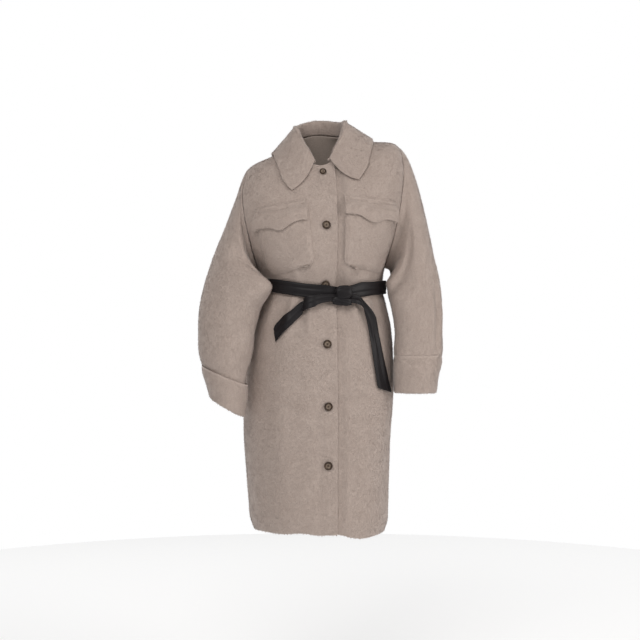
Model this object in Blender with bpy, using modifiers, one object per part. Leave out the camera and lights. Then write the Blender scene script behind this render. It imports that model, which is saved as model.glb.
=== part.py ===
"""Faux fur shirt coat with a narrow tie belt: hollow, closed, in the pose it is worn in.

Metres, +Z up.  The front faces -Y and +X is the wearer's left.  The origin is the middle
of the neck opening at the height of the shoulders, where the wearer carries the coat.
Angles go round from +X through the back (+Y), so the closure is at -90 degrees.
"""
import math

import bmesh
import bpy
import numpy as np
from mathutils import Vector

# ---- driving dimensions ----
FUR = 0.0055            # wall of backing cloth with its short pile
SEAM = 0.0003           # gap that every seam keeps
HEM, BELT, UNDERARM, SHOULDER, NECK = 0.0, 0.633, 0.680, 0.968, 1.105   # lengths up the side
ARMHOLE_ANGLE = math.radians(21)     # half the armhole's width, as an angle from the side
LAP = 0.024             # how far each front passes the centre front
BUTTON, TOP_BUTTON = 0.0215, 0.0175  # diameters
BELT_WIDTH, BELT_THICK = 0.031, 0.0030

FRONT_ANGLE, BACK_ANGLE = -math.pi / 2, math.pi / 2


def columns(names, rows):
    """One array for each named column of a table."""
    return dict(zip(names.split(), np.array(rows, float).T))


# Rings of the body, by their length up the side seam, armhole and shoulder seam:
# heights at side, front and back; half widths; depths; roundness; middle; sideways slope.
TRUNK = columns(
    "up     side    front   back    dip  right  left   chest  spine  square middle  slope", (
    (0.000, -0.999, -0.990, -1.002, 1.0, 0.172, 0.168, 0.143, 0.152, 2.2,   0.000, -0.03),
    (0.030, -0.971, -0.962, -0.974, 1.0, 0.182, 0.176, 0.148, 0.157, 2.2,   0.000, -0.03),
    (0.070, -0.931, -0.922, -0.934, 1.0, 0.186, 0.178, 0.149, 0.158, 2.2,   0.000, -0.03),
    (0.155, -0.850, -0.841, -0.852, 1.0, 0.192, 0.180, 0.149, 0.158, 2.2,   0.000, -0.02),
    (0.265, -0.740, -0.734, -0.741, 1.0, 0.199, 0.184, 0.150, 0.159, 2.2,   0.000, 0.00),
    (0.355, -0.650, -0.647, -0.650, 1.0, 0.198, 0.189, 0.150, 0.159, 2.2,   0.000, 0.00),
    (0.455, -0.550, -0.552, -0.550, 1.0, 0.188, 0.188, 0.145, 0.154, 2.2,  -0.001, 0.00),
    (0.535, -0.470, -0.476, -0.470, 1.0, 0.174, 0.182, 0.137, 0.144, 2.1,  -0.002, 0.01),
    (0.590, -0.410, -0.424, -0.410, 1.0, 0.158, 0.171, 0.126, 0.128, 2.1,  -0.002, -0.01),
    (0.633, -0.366, -0.385, -0.365, 1.0, 0.149, 0.165, 0.116, 0.114, 2.1,  -0.002, -0.02),
    (0.660, -0.342, -0.359, -0.342, 1.0, 0.153, 0.168, 0.122, 0.117, 2.1,  -0.003, 0.00),
    (0.680, -0.325, -0.338, -0.326, 1.0, 0.160, 0.172, 0.131, 0.121, 2.1,  -0.003, 0.03),
    (0.760, -0.245, -0.290, -0.262, 1.0, 0.200, 0.205, 0.143, 0.127, 2.2,  -0.003, 0.07),
    (0.845, -0.160, -0.252, -0.212, 1.0, 0.224, 0.228, 0.147, 0.130, 2.3,  -0.003, 0.11),
    (0.915, -0.086, -0.224, -0.175, 1.0, 0.216, 0.229, 0.146, 0.130, 2.3,  -0.004, 0.15),
    (0.968, -0.035, -0.198, -0.143, 1.0, 0.183, 0.208, 0.142, 0.128, 2.2,  -0.005, 0.17),
    (1.040, -0.010, -0.135, -0.060, 1.2, 0.114, 0.136, 0.129, 0.109, 2.1,  -0.006, 0.16),
    (1.105, 0.018,  -0.062, 0.035,  1.5, 0.060, 0.074, 0.092, 0.076, 2.1,  -0.007, 0.13),
))

# Gathers that the belt draws up and long soft folds of the skirt, each at an angle round the
# body: its middle height up, its reach up or down, its width as an angle, its depth.
FOLDS = columns(
    "angle  up     reach  width  depth", (
    (-128,  0.578, 0.060, 5.0,   0.0060),
    (-116,  0.590, 0.045, 4.0,  -0.0045),
    (-108,  0.575, 0.055, 4.5,   0.0040),
    (-67,   0.585, 0.050, 4.5,  -0.0040),
    (-58,   0.580, 0.055, 4.5,   0.0050),
    (-43,   0.575, 0.065, 5.5,   0.0060),
    (-32,   0.590, 0.045, 4.0,  -0.0040),
    (-122,  0.672, 0.028, 5.0,   0.0040),
    (-64,   0.670, 0.028, 5.5,   0.0035),
    (-40,   0.672, 0.030, 5.0,   0.0045),
    (-150,  0.560, 0.080, 6.0,   0.0055),
    (-14,   0.560, 0.080, 6.0,   0.0050),
    (14,    0.575, 0.070, 6.0,   0.0055),
    (38,    0.580, 0.060, 5.5,   0.0065),
    (52,    0.585, 0.050, 4.5,  -0.0045),
    (66,    0.575, 0.065, 5.5,   0.0055),
    (88,    0.580, 0.055, 5.5,   0.0050),
    (101,   0.585, 0.050, 4.5,  -0.0045),
    (116,   0.578, 0.065, 5.5,   0.0065),
    (140,   0.575, 0.070, 6.0,   0.0055),
    (48,    0.690, 0.040, 7.0,   0.0060),
    (84,    0.688, 0.040, 7.0,   0.0055),
    (124,   0.690, 0.040, 7.0,   0.0060),
    (-98,   0.120, 0.180, 6.0,  -0.0035),
    (-132,  0.210, 0.220, 9.0,   0.0040),
    (-52,   0.180, 0.200, 9.0,   0.0040),
    (-24,   0.160, 0.190, 8.0,  -0.0035),
    (62,    0.150, 0.200, 9.0,  -0.0050),
    (118,   0.170, 0.220, 9.0,  -0.0050),
))

# Sections of the sleeves, from armhole to end: the outer and the inner point of each, as the
# coat is seen from the front, and half the depth.  Row 0 meets the armhole.
SLEEVE_COLUMNS = "row outer_x outer_y outer_z inner_x inner_y inner_z depth"
SLEEVE_LEFT = columns(SLEEVE_COLUMNS, (
    (0,  0.2100, 0.000, -0.006, 0.1720, 0.000, -0.320, 0.077),
    (1,  0.2500, -0.004, -0.050, 0.1830, -0.002, -0.332, 0.078),
    (2,  0.2700, -0.010, -0.122, 0.1860, -0.006, -0.341, 0.079),
    (3,  0.2830, -0.018, -0.205, 0.1850, -0.014, -0.352, 0.080),
    (4,  0.2930, -0.024, -0.278, 0.1820, -0.028, -0.366, 0.082),
    (5,  0.3060, -0.030, -0.350, 0.1790, -0.046, -0.388, 0.083),
    (6,  0.3080, -0.042, -0.415, 0.1850, -0.062, -0.428, 0.081),
    (7,  0.3060, -0.058, -0.480, 0.1890, -0.076, -0.482, 0.075),
    (8,  0.3020, -0.074, -0.540, 0.1880, -0.086, -0.538, 0.067),
    (9,  0.2890, -0.088, -0.592, 0.1850, -0.094, -0.589, 0.059),
    (10, 0.2810, -0.097, -0.634, 0.1830, -0.100, -0.633, 0.054),
))
SLEEVE_RIGHT = columns(SLEEVE_COLUMNS, (
    (0,  -0.1850, 0.000, -0.070, -0.1600, 0.000, -0.328, 0.077),
    (1,  -0.2060, -0.004, -0.112, -0.1700, -0.003, -0.340, 0.078),
    (2,  -0.2290, -0.010, -0.168, -0.1700, -0.010, -0.353, 0.079),
    (3,  -0.2530, -0.014, -0.228, -0.1520, -0.026, -0.364, 0.079),
    (4,  -0.2800, -0.020, -0.296, -0.1360, -0.050, -0.381, 0.076),
    (5,  -0.3020, -0.028, -0.366, -0.1390, -0.072, -0.405, 0.073),
    (6,  -0.3140, -0.034, -0.426, -0.1580, -0.084, -0.437, 0.071),
    (7,  -0.3170, -0.042, -0.485, -0.1740, -0.086, -0.477, 0.069),
    (8,  -0.3120, -0.056, -0.545, -0.1840, -0.092, -0.530, 0.065),
    (9,  -0.2980, -0.074, -0.602, -0.1960, -0.098, -0.606, 0.058),
    (10, -0.2860, -0.086, -0.644, -0.2050, -0.100, -0.690, 0.052),
))
SLEEVE_BLEND = 3.6      # rows over which the armhole's own loop passes into the sections
SLEEVE_HEAD = 0.018     # how far the armhole's loop is carried out on the way
SHOULDER_WAY = {1: (0.85, 0.0, -0.52), -1: (-0.62, 0.0, -0.78)}   # slope of each sleeve's head
UNDERARM_WAY = {1: (0.95, 0.0, -0.30), -1: (-0.80, -0.25, -0.45)}  # the same under the arm
SIDE_AIR = 0.0035       # between a sleeve and the side it hangs against
BELT_AIR = 0.0115       # the same where the belt passes between them
PRESS = 0.006           # softness of the sleeve's flattened side
SLEEVE_SLOPE_STEP = 0.12     # rows and radians over which a sleeve's slope is taken
SLEEVE_SOFTENING = 4    # rounds that even out the directions of a sleeve's wall

CUFF_LEFT, CUFF_RIGHT = 0.083, 0.074     # heights of the turned-back cuffs
CUFF_AIR = 0.0012       # between a cuff and its sleeve

# The collar from centre back (0) to its front end (1): height of the stand, and where the
# leaf's outer edge lies on the shoulders, by length up and by how far it swings sideways.
COLLAR = columns(
    "along stand  up     swing", (
    (0.00, 0.040, 1.038, 0),
    (0.30, 0.040, 1.038, 0),
    (0.55, 0.038, 1.035, 3),
    (0.75, 0.036, 1.028, 11),
    (0.88, 0.033, 1.018, 20),
    (0.95, 0.028, 1.006, 24.5),
    (1.00, 0.014, 1.003, 23),
))
COLLAR_END = math.radians(12)    # from the centre front
COLLAR_WALL = 0.0055
COLLAR_AIR = 0.0009     # between the collar and the coat under it
COLLAR_FOLD = 0.0075    # radius of the fold at the top of the stand
COLLAR_LEAN = 0.004     # the stand leans in to the neck

# Chest pockets and flaps as they hang, seen from the front: corners of each, x and z.
POCKET_WALL, FLAP_WALL = 0.0045, 0.0050
POCKETS = {
    "right": dict(inner=(-0.049, -0.158), outer=(-0.180, -0.180), drop=0.162, drift=0.016,
                  taper=0.040),
    "left": dict(inner=(0.0440, -0.146), outer=(0.1840, -0.160), drop=0.174, drift=-0.002,
                 taper=-0.030),
}
FLAPS = {
    "right": dict(inner=(-0.053, -0.149), outer=(-0.179, -0.174), drop=0.056),
    "left": dict(inner=(0.0435, -0.138), outer=(0.1820, -0.1515), drop=0.051),
}
POCKET_CORNER = 0.020   # radius of a pocket's lower corners
FLAP_DIP = 0.014        # how far the middle of a flap's lower edge drops

# Buttons from the top: height, diameter, and how far the back stands off the curved front.
BUTTONS = columns(
    "z       size           seat", (
    (-0.0815, TOP_BUTTON, 0.00050),
    (-0.2190, BUTTON, 0.00030),
    (-0.3660, BUTTON, 0.00120),
    (-0.5150, BUTTON, 0.00025),
    (-0.6700, BUTTON, 0.00005),
    (-0.8170, BUTTON, 0.00000),
))

# The belt's knot and free ends, on the front below it: x, z and half width of each tail.
KNOT = (0.0420, -0.386)
TAIL_RIGHT = columns(
    "x       z       half", (
    (0.0190, -0.4045, 0.0080),
    (-0.016, -0.4050, 0.0095),
    (-0.055, -0.4185, 0.0110),
    (-0.086, -0.4460, 0.0120),
    (-0.113, -0.4730, 0.0125),
    (-0.128, -0.4940, 0.0110),
))
TAIL_LEFT = columns(
    "x      z       half", (
    (0.0700, -0.4135, 0.0070),
    (0.0890, -0.4250, 0.0090),
    (0.1090, -0.4500, 0.0110),
    (0.1205, -0.4970, 0.0125),
    (0.1300, -0.5510, 0.0140),
    (0.1420, -0.6120, 0.0150),
    (0.1480, -0.6330, 0.0150),
))
TAIL_LIFTS = (0.0020, 0.0009)      # between the right and left tail and the front under it
TAIL_POINT = 0.024      # how much longer one edge of a tail is than the other
BELT_LIFT = 0.0082      # the band bridges the gathers under it

# ---- mesh resolution ----
SKIRT_ROWS = (0.0, 0.05, 0.11, 0.18, 0.25, 0.32, 0.39, 0.45, 0.50, 0.545, 0.58, 0.61)
WAIST_ROWS = (0.633, 0.657)
ARMHOLE_STEPS = 10      # rows of the fronts and back along the armhole; twice that round a sleeve
YOKE_STEPS = 4
FRONT_STEPS, BACK_STEPS = 16, 28
COLLAR_STEPS = 28
SLEEVE_ROWS = (0, 0.7, 1.5, 2.4, 3.2, 4.0, 4.6, 5.2, 5.8, 6.4, 7, 8, 9, 10)


def through(table, along, name, at):
    """Smooth curve through one column of a table: cubic pieces with their neighbours' slopes."""
    knots, values = table[along], table[name]
    slopes = np.gradient(values, knots)
    i = np.clip(np.searchsorted(knots, at, side="right") - 1, 0, len(knots) - 2)
    span = knots[i + 1] - knots[i]
    t = (at - knots[i]) / span
    return (values[i] * (2 * t**3 - 3 * t**2 + 1) + values[i + 1] * (3 * t**2 - 2 * t**3)
            + span * (slopes[i] * (t**3 - 2 * t**2 + t) + slopes[i + 1] * (t**3 - t**2)))


def ease(t):
    """Smooth step from 0 at t = 0 to 1 at t = 1."""
    t = np.clip(t, 0, 1)
    return t * t * (3 - 2 * t)


def unit(v):
    """Vectors scaled to length one."""
    return v / np.linalg.norm(v, axis=-1, keepdims=True)


def folds(up, angle):
    """Height of gathers and folds: the sum of soft ridges and troughs."""
    total = np.zeros(np.broadcast(up, angle).shape)
    for at, middle, reach, width, depth in zip(*FOLDS.values()):
        away = np.degrees(angle) - at
        away = (away + 180) % 360 - 180
        total += depth * np.exp(-(away / width)**2 - ((up - middle) / reach)**2)
    return total * (1 - 0.9 * np.exp(-((up - BELT) / 0.022)**2))


def trunk(up, angle):
    """Outer face of fronts and back: superellipse rings that rise and dip with the body."""
    up, angle = np.broadcast_arrays(np.asarray(up, float), np.asarray(angle, float))
    ring = {name: through(TRUNK, "up", name, up) for name in TRUNK if name != "up"}
    c, s = np.cos(angle), np.sin(angle)
    wide = np.where(c < 0, ring["right"], ring["left"])
    deep = np.where(s < 0, ring["chest"], ring["spine"])
    power = ring["square"]
    radius = ((np.abs(c) / wide)**power + (np.abs(s) / deep)**power)**(-1 / power)
    radius = radius + folds(up, angle)
    end = np.where(s < 0, ring["front"], ring["back"])
    z = ring["side"] + (end - ring["side"]) * np.abs(s)**(2 * ring["dip"])
    x = ring["middle"] + radius * c
    return np.stack([x, radius * s, z + ring["slope"] * radius * c], -1)


def normals(surface, p, q, step=2e-4):
    """Unit normals of a surface of two parameters, from its slopes."""
    along_p = surface(p + step, q) - surface(p - step, q)
    along_q = surface(p, q + step) - surface(p, q - step)
    return unit(np.cross(along_q, along_p))


def on_front(x, z):
    """Length up and angle of the spots on the front seen at x and z (Newton steps)."""
    up = np.interp(z, TRUNK["front"], TRUNK["up"])
    angle = FRONT_ANGLE + np.arcsin(np.clip(x / 0.2, -0.9, 0.9))
    step = 1e-4
    for _ in range(14):
        here = trunk(up, angle)
        by_up = (trunk(up + step, angle) - here) / step
        by_angle = (trunk(up, angle + step) - here) / step
        dx, dz = x - here[..., 0], z - here[..., 2]
        area = by_up[..., 0] * by_angle[..., 2] - by_angle[..., 0] * by_up[..., 2]
        up = up + np.clip((dx * by_angle[..., 2] - dz * by_angle[..., 0]) / area, -0.05, 0.05)
        angle = angle + np.clip((dz * by_up[..., 0] - dx * by_up[..., 2]) / area, -0.2, 0.2)
    return up, angle


def above_front(x, z, lift):
    """Points over the front face at x and z, moved out by lift."""
    up, angle = on_front(x, z)
    return trunk(up, angle) + normals(trunk, up, angle) * np.asarray(lift)[..., None]


# ---- meshes, materials and collections ----
def fresh_collection(name):
    """A new collection in the scene."""
    collection = bpy.data.collections.new(name)
    bpy.context.scene.collection.children.link(collection)
    return collection


def principled(name, colour, roughness, sheen=0.0):
    """A plain material of one colour."""
    material = bpy.data.materials.new(name)
    material.use_nodes = True
    shader = material.node_tree.nodes["Principled BSDF"]
    shader.inputs["Base Color"].default_value = (*colour, 1)
    shader.inputs["Roughness"].default_value = roughness
    shader.inputs["Metallic"].default_value = 0.0
    shader.inputs["Sheen Weight"].default_value = sheen
    return material


def add_mesh(name, points, faces, material):
    """A mesh object of the coat, made of points and faces."""
    mesh = bpy.data.meshes.new(name)
    mesh.from_pydata(np.asarray(points).reshape(-1, 3).tolist(), [], faces)
    shape = bmesh.new()
    shape.from_mesh(mesh)
    bmesh.ops.recalc_face_normals(shape, faces=shape.faces)
    shape.to_mesh(mesh)
    shape.free()
    mesh.materials.append(material)
    mesh.shade_smooth()
    mesh.set_sharp_from_angle(angle=math.radians(40))
    obj = bpy.data.objects.new(name, mesh)
    COAT.objects.link(obj)
    return obj


def wall(name, outer, inner, material, tube=False):
    """Sheet of cloth between an outer and an inner grid of points, closed at its edges."""
    rows, across = outer.shape[:2]
    count = rows * across
    grid = np.arange(count).reshape(rows, across)
    if tube:
        grid = np.concatenate([grid, grid[:, :1]], axis=1)
    skin = np.stack([grid[:-1, :-1], grid[:-1, 1:], grid[1:, 1:], grid[1:, :-1]], -1).reshape(-1, 4)
    edges = [grid[0], grid[-1][::-1]]
    if not tube:
        edges += [grid[:, -1], grid[:, 0][::-1]]
    rims = [np.stack([e[1:], e[:-1], e[:-1] + count, e[1:] + count], -1) for e in edges]
    faces = np.concatenate([skin, skin[:, ::-1] + count] + rims)
    points = np.concatenate([outer.reshape(-1, 3), inner.reshape(-1, 3)])
    return add_mesh(name, points, faces.tolist(), material)


def ring_solid(name, loops, material):
    """Solid ring: a closed section of points carried round, loops[station, section point]."""
    stations, around = loops.shape[:2]
    grid = np.arange(stations * around).reshape(stations, around)
    grid = np.concatenate([grid, grid[:1]])
    grid = np.concatenate([grid, grid[:, :1]], axis=1)
    faces = np.stack([grid[:-1, :-1], grid[:-1, 1:], grid[1:, 1:], grid[1:, :-1]], -1)
    return add_mesh(name, loops, faces.reshape(-1, 4).tolist(), material)


# ---- fronts and back ----
def armhole(turn):
    """Length up and angle from the side, round the armhole: 0 at the shoulder, pi under the arm."""
    middle, half = (SHOULDER + UNDERARM) / 2, (SHOULDER - UNDERARM) / 2
    return middle + half * np.cos(turn), ARMHOLE_ANGLE * np.sin(turn)


def panel_rows():
    """Lengths up of a panel's rows, and the angle from the side at which each row ends."""
    ups, sides = armhole(np.linspace(math.pi, 0, ARMHOLE_STEPS + 1))
    below = np.array(SKIRT_ROWS + WAIST_ROWS)
    above = np.linspace(SHOULDER, NECK - SEAM, YOKE_STEPS + 1)[1:]
    up = np.concatenate([below, ups, above])
    side = np.concatenate([np.zeros(len(below)), sides, np.zeros(len(above))])
    return up, side


def panel(name, first, last, steps, material, sink=None):
    """A front or the back, from angle first to angle last of each row, walled inwards."""
    up = panel_rows()[0]
    share = np.linspace(0, 1, steps + 1)
    angle = first[:, None] + (last - first)[:, None] * share
    up = np.repeat(up[:, None], steps + 1, axis=1)
    outer, normal = trunk(up, angle), normals(trunk, up, angle)
    if sink is not None:
        outer = outer - normal * sink(outer[..., 0])[..., None]
    return wall(name, outer, outer - normal * FUR, material)


def front_edge_angle(up, x):
    """Angle at which the ring at this length up passes x beside the centre front."""
    depth = through(TRUNK, "up", "chest", up)
    return FRONT_ANGLE + np.arcsin((x - through(TRUNK, "up", "middle", up)) / depth)


def build_body(material):
    """Right front over left front, and the back, which meet at side and shoulder seams."""
    up, side = panel_rows()
    half_gap = SEAM / through(TRUNK, "up", "left", up)
    seam_side = side + np.where(side > 1e-6, 0, half_gap)
    panel("front_right", front_edge_angle(up, LAP), -math.pi + seam_side, FRONT_STEPS, material)

    under = FUR + SEAM + 0.0009

    def sink(x):
        """The left front lies one wall deeper where the right front covers it."""
        return under * ease((LAP + 0.029 - x) / 0.023)

    panel("front_left", front_edge_angle(up, -LAP), -seam_side, FRONT_STEPS, material, sink)
    panel("back", seam_side, math.pi - seam_side, BACK_STEPS, material)


# ---- sleeves and cuffs ----
def sleeve_surface(table, mirror):
    """The outer face of a sleeve as a function of row and turn; mirror is -1 on the right."""
    def loop(turn):
        """The armhole's edge, and the way the cloth leaves it."""
        up, off = armhole(np.abs(turn))
        front = np.where(turn > 0, -1.0, 1.0)
        angle = front * off if mirror > 0 else math.pi - front * off
        edge = trunk(up, angle)
        step = 1e-3
        up_next, off_next = armhole(np.abs(turn) - step)
        angle_next = front * off_next if mirror > 0 else math.pi - front * off_next
        along = unit(trunk(up_next, angle_next) - edge)
        leave = np.cross(normals(trunk, up, angle), along) * (front * mirror)[..., None]
        leave = unit(leave + np.array([mirror, 0.0, -0.5]))
        outward = np.array(UNDERARM_WAY[mirror])
        sloping = np.array(SHOULDER_WAY[mirror])
        low = ease((np.abs(turn) / math.pi - 0.45) / 0.5)[..., None]
        high = 0.8 * ease(1 - np.abs(turn) / (0.45 * math.pi))[..., None]
        return edge, unit(leave * (1 - low - high) + outward * low + sloping * high)

    def surface(row, turn):
        row, turn = np.broadcast_arrays(np.asarray(row, float), np.asarray(turn, float))
        get = {name: through(table, "row", name, row) for name in table if name != "row"}
        outer = np.stack([get["outer_x"], get["outer_y"], get["outer_z"]], -1)
        inner = np.stack([get["inner_x"], get["inner_y"], get["inner_z"]], -1)
        axis = (outer - inner) / 2
        flat = unit(axis * [1, 1, 0])
        sideways = np.stack([flat[..., 1], -flat[..., 0], 0 * row], -1) * mirror
        section = ((outer + inner) / 2 + axis * np.cos(turn)[..., None]
                   + sideways * (get["depth"] * np.sin(turn))[..., None])
        wrapped = (turn + math.pi) % (2 * math.pi) - math.pi
        edge, leave = loop(np.where(wrapped == 0, 1e-6, wrapped))
        way_out = SEAM + 0.0001 + SLEEVE_HEAD * (1 - np.exp(-row))
        start = edge + leave * way_out[..., None]
        share = ease(row / SLEEVE_BLEND)[..., None]
        return beside_trunk(start * (1 - share) + section * share)

    return surface


def beside_trunk(spot):
    """Points of a sleeve moved out where they would press into the side of the body."""
    x, y, z = spot[..., 0], spot[..., 1], spot[..., 2]
    angle = np.arctan2(y, x)
    up = np.interp(z, TRUNK["side"], TRUNK["up"])
    for _ in range(5):
        here = trunk(up, angle)
        up = np.clip(up + z - here[..., 2], 0, UNDERARM + 0.02)
    air = SIDE_AIR + (BELT_AIR - SIDE_AIR) * np.exp(-((up - BELT) / 0.024)**4)
    gap = np.hypot(x, y) - np.hypot(here[..., 0], here[..., 1]) - air
    below = ease((here[..., 2] - z + 0.004) / 0.004) * ease((UNDERARM - 0.003 - up) / 0.02)
    push = 0.5 * (np.sqrt(gap**2 + PRESS**2) - gap) * below
    return spot + np.stack([np.cos(angle), np.sin(angle), 0 * z], -1) * push[..., None]


def sleeve_turns():
    """Turns round a sleeve that match the rows of the fronts and back along the armhole."""
    half = np.linspace(0, math.pi, ARMHOLE_STEPS + 1)
    return np.concatenate([half, -half[-2:0:-1]])


def build_sleeve(name, table, mirror, material):
    """A wide tube of fur from the armhole to inside its cuff."""
    surface = sleeve_surface(table, mirror)
    row, turn = np.meshgrid(np.array(SLEEVE_ROWS, float), sleeve_turns(), indexing="ij")
    outer = surface(row, turn)
    normal = normals(surface, row, turn, SLEEVE_SLOPE_STEP) * mirror
    for _ in range(SLEEVE_SOFTENING):
        normal = normal + 0.5 * (np.roll(normal, 1, 1) + np.roll(normal, -1, 1))
        normal[1:-1] = normal[1:-1] + 0.5 * (normal[2:] + normal[:-2])
        normal = unit(normal)
    return wall(name, outer, outer - normal * FUR, material, tube=True)


def build_cuff(name, table, mirror, height, material):
    """Turned-back cuff: a band outside the sleeve whose fold passes under the sleeve's end."""
    surface = sleeve_surface(table, mirror)
    turn = sleeve_turns()
    out, fold = CUFF_AIR + FUR, CUFF_AIR + FUR
    section = ((CUFF_AIR, height), (out, height - 0.002), (out, height / 2), (out, 0.0),
               (0.6 * out, -0.8 * fold), (-0.3 * FUR, -fold), (-FUR, -0.6 * fold),
               (-FUR, -CUFF_AIR), (CUFF_AIR, -CUFF_AIR), (CUFF_AIR, height / 2))
    end = surface(np.full_like(turn, 10.0), turn)
    before = surface(np.full_like(turn, 9.0), turn)
    length = np.linalg.norm(end - before, axis=-1)
    loops = []
    for offset, rise in section:
        row = 10 - np.maximum(rise, 0) / length
        spot = surface(row, turn)
        normal = normals(surface, row, turn, SLEEVE_SLOPE_STEP) * mirror
        down = unit(end - before) * max(-rise, 0)
        loops.append(spot + normal * offset + down)
    return ring_solid(name, np.stack(loops, 1), material)


# ---- collar ----
def build_collar(material):
    """One folded strip of fur: up from the neckline, over, and down on the shoulders."""
    along = np.sin(np.linspace(-1, 1, COLLAR_STEPS) * 1.2) / math.sin(1.2)
    half = np.abs(along)
    stand, edge_up = (through(COLLAR, "along", name, half) for name in ("stand", "up"))
    swing = np.radians(through(COLLAR, "along", "swing", half)) * np.sign(along)
    neck_angle = BACK_ANGLE - along * (math.pi - COLLAR_END)
    neck = trunk(np.full_like(along, NECK), neck_angle)
    out = np.stack([np.cos(neck_angle), np.sin(neck_angle), 0 * along], -1)
    top = np.array([0.0, 0.0, 1.0])
    lean = COLLAR_LEAN + COLLAR_WALL

    def beside(radial, height):
        return neck + out * radial + top * np.reshape(height, (-1, 1))

    fold = COLLAR_FOLD
    path = [(-COLLAR_WALL, COLLAR_AIR), (-lean, (stand - fold) * 0.5), (-lean - 0.001, stand - fold),
            (-lean + fold * 0.3, stand - fold * 0.2), (-lean + fold, stand),
            (-lean + fold * 1.7, stand - fold * 0.2), (-lean + fold * 2, stand - fold)]
    away = [(1, 0), (1, 0), (1, -0.1), (0.7, -0.7), (0, -1), (-0.7, -0.7), (-1, -0.1)]
    outer = [beside(r, h * np.ones_like(along)) for r, h in path]
    inner = [p + COLLAR_WALL * unit(out * a + top * b) for p, (a, b) in zip(outer, away)]
    start = outer[-1] - neck
    clear = COLLAR_WALL + 2 * COLLAR_AIR
    for share in (0.2, 0.4, 0.6, 0.8, 1.0):
        up = NECK + (edge_up - NECK) * share
        angle = neck_angle + swing * share
        foot, normal = trunk(up, angle), normals(trunk, up, angle)
        spot = foot + start * (1 - share) + normal * clear * share
        outer.append(spot)
        slope = unit(-out * (1 - share) + normal * (-share) - top * 0.4 * (1 - share))
        inner.append(spot + COLLAR_WALL * slope)
    outer, inner = np.stack(outer), np.stack(inner)
    return wall("collar", outer[:, ::-1], inner[:, ::-1], material)


# ---- pockets and flaps ----
def patch(name, corners, shape, lift, thick, steps, material):
    """A piece laid on a front: across its width and down its length, thinner at its rim."""
    across, down = np.meshgrid(np.linspace(0, 1, steps[0] + 1), np.linspace(0, 1, steps[1] + 1))
    x, z = shape(across, down)
    rim = 1 - 0.45 * np.maximum(np.abs(2 * across - 1), np.abs(2 * down - 1))**6
    base = lift(down)
    outer, inner = above_front(x, z, base + thick * rim), above_front(x, z, base)
    if corners["outer"][0] > 0:
        outer, inner = outer[::-1], inner[::-1]
    return wall(name, outer, inner, material)


def build_pockets(material):
    """Two patch pockets, each under its flap."""
    for side, row in POCKETS.items():
        inner, outer = np.array(row["inner"]), np.array(row["outer"])
        width = abs(outer[0] - inner[0])

        def shape(across, down, inner=inner, outer=outer, row=row, width=width):
            above_end = np.maximum(POCKET_CORNER - (1 - down) * row["drop"], 0)
            pull = POCKET_CORNER - np.sqrt(POCKET_CORNER**2 - above_end**2)
            share = 0.5 + (across - 0.5) * (1 - 2 * pull / width)
            near = inner[0] + row["drift"] * down**1.5
            far = outer[0] + row["taper"] * down**1.5
            x = near + (far - near) * share
            return x, inner[1] + (outer[1] - inner[1]) * across - row["drop"] * down

        patch("pocket_" + side, row, shape, lambda down: 0.0016 + 0 * down, POCKET_WALL,
              (9, 10), material)

    for side, row in FLAPS.items():
        inner, outer = np.array(row["inner"]), np.array(row["outer"])

        def shape(across, down, inner=inner, outer=outer, row=row):
            bracket = np.exp(-((across - 0.5) / 0.17)**2)
            corner = np.exp(-((np.abs(2 * across - 1) - 1) / 0.16)**2)
            drop = row["drop"] + FLAP_DIP * bracket + 0.15 * FLAP_DIP * corner
            x = inner[0] + (outer[0] - inner[0]) * across
            return x, inner[1] + (outer[1] - inner[1]) * across - drop * down

        def lift(down):
            """Sewn down along its top, then out over the pocket."""
            return 0.0014 + (POCKET_WALL + 0.0014) * ease(down / 0.12)

        patch("flap_" + side, row, shape, lift, FLAP_WALL, (14, 5), material)


# ---- belt ----
def belt_face(angle, rise, lift):
    """Points of the belt's band: the waist's ring moved out, rise above its middle."""
    ring = trunk(np.full_like(angle, BELT), angle)
    out = np.stack([np.cos(angle), np.sin(angle), 0 * angle], -1)
    top = np.array([0.0, 0.0, 1.0])
    return ring + out * lift + top * rise


def build_belt(material):
    """Band round the waist, knot with its lower turn, and two free ends."""
    angle = np.linspace(0, 2 * math.pi, 56, endpoint=False)
    half, inside, outside = BELT_WIDTH / 2, BELT_LIFT, BELT_LIFT + BELT_THICK
    section = ((inside, -half), (inside, half), (outside - 0.0006, half),
               (outside, 0.0), (outside - 0.0006, -half))
    loops = np.stack([belt_face(angle, rise, lift) for lift, rise in section], 1)
    ring_solid("belt_band", loops, material)

    x, z = KNOT
    near = FRONT_ANGLE + np.linspace(0.21, 0.5, 11)
    face = belt_face(near, 0.0, outside)[:, 1].min() - 0.0003
    knot, turn = (0.038, 0.016, 0.034), (0.040, 0.013, 0.016)
    rounded_block("belt_knot", knot, (x, face - knot[1] / 2, z + 0.001), 0.0, material)
    low = z - knot[2] / 2 - turn[2] / 2 - 0.0001
    spread = np.linspace(-0.5, 0.5, 5)
    under = above_front(x + turn[0] * spread, np.full(5, low - turn[2] / 2), np.zeros(5))
    rounded_block("belt_knot_turn", turn, (x + 0.001, under[:, 1].min() - 0.0005 - turn[1] / 2, low),
                  math.radians(6), material)
    build_tail("belt_tail_right", TAIL_RIGHT, TAIL_LIFTS[0], material)
    build_tail("belt_tail_left", TAIL_LEFT, TAIL_LIFTS[1], material)


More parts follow.
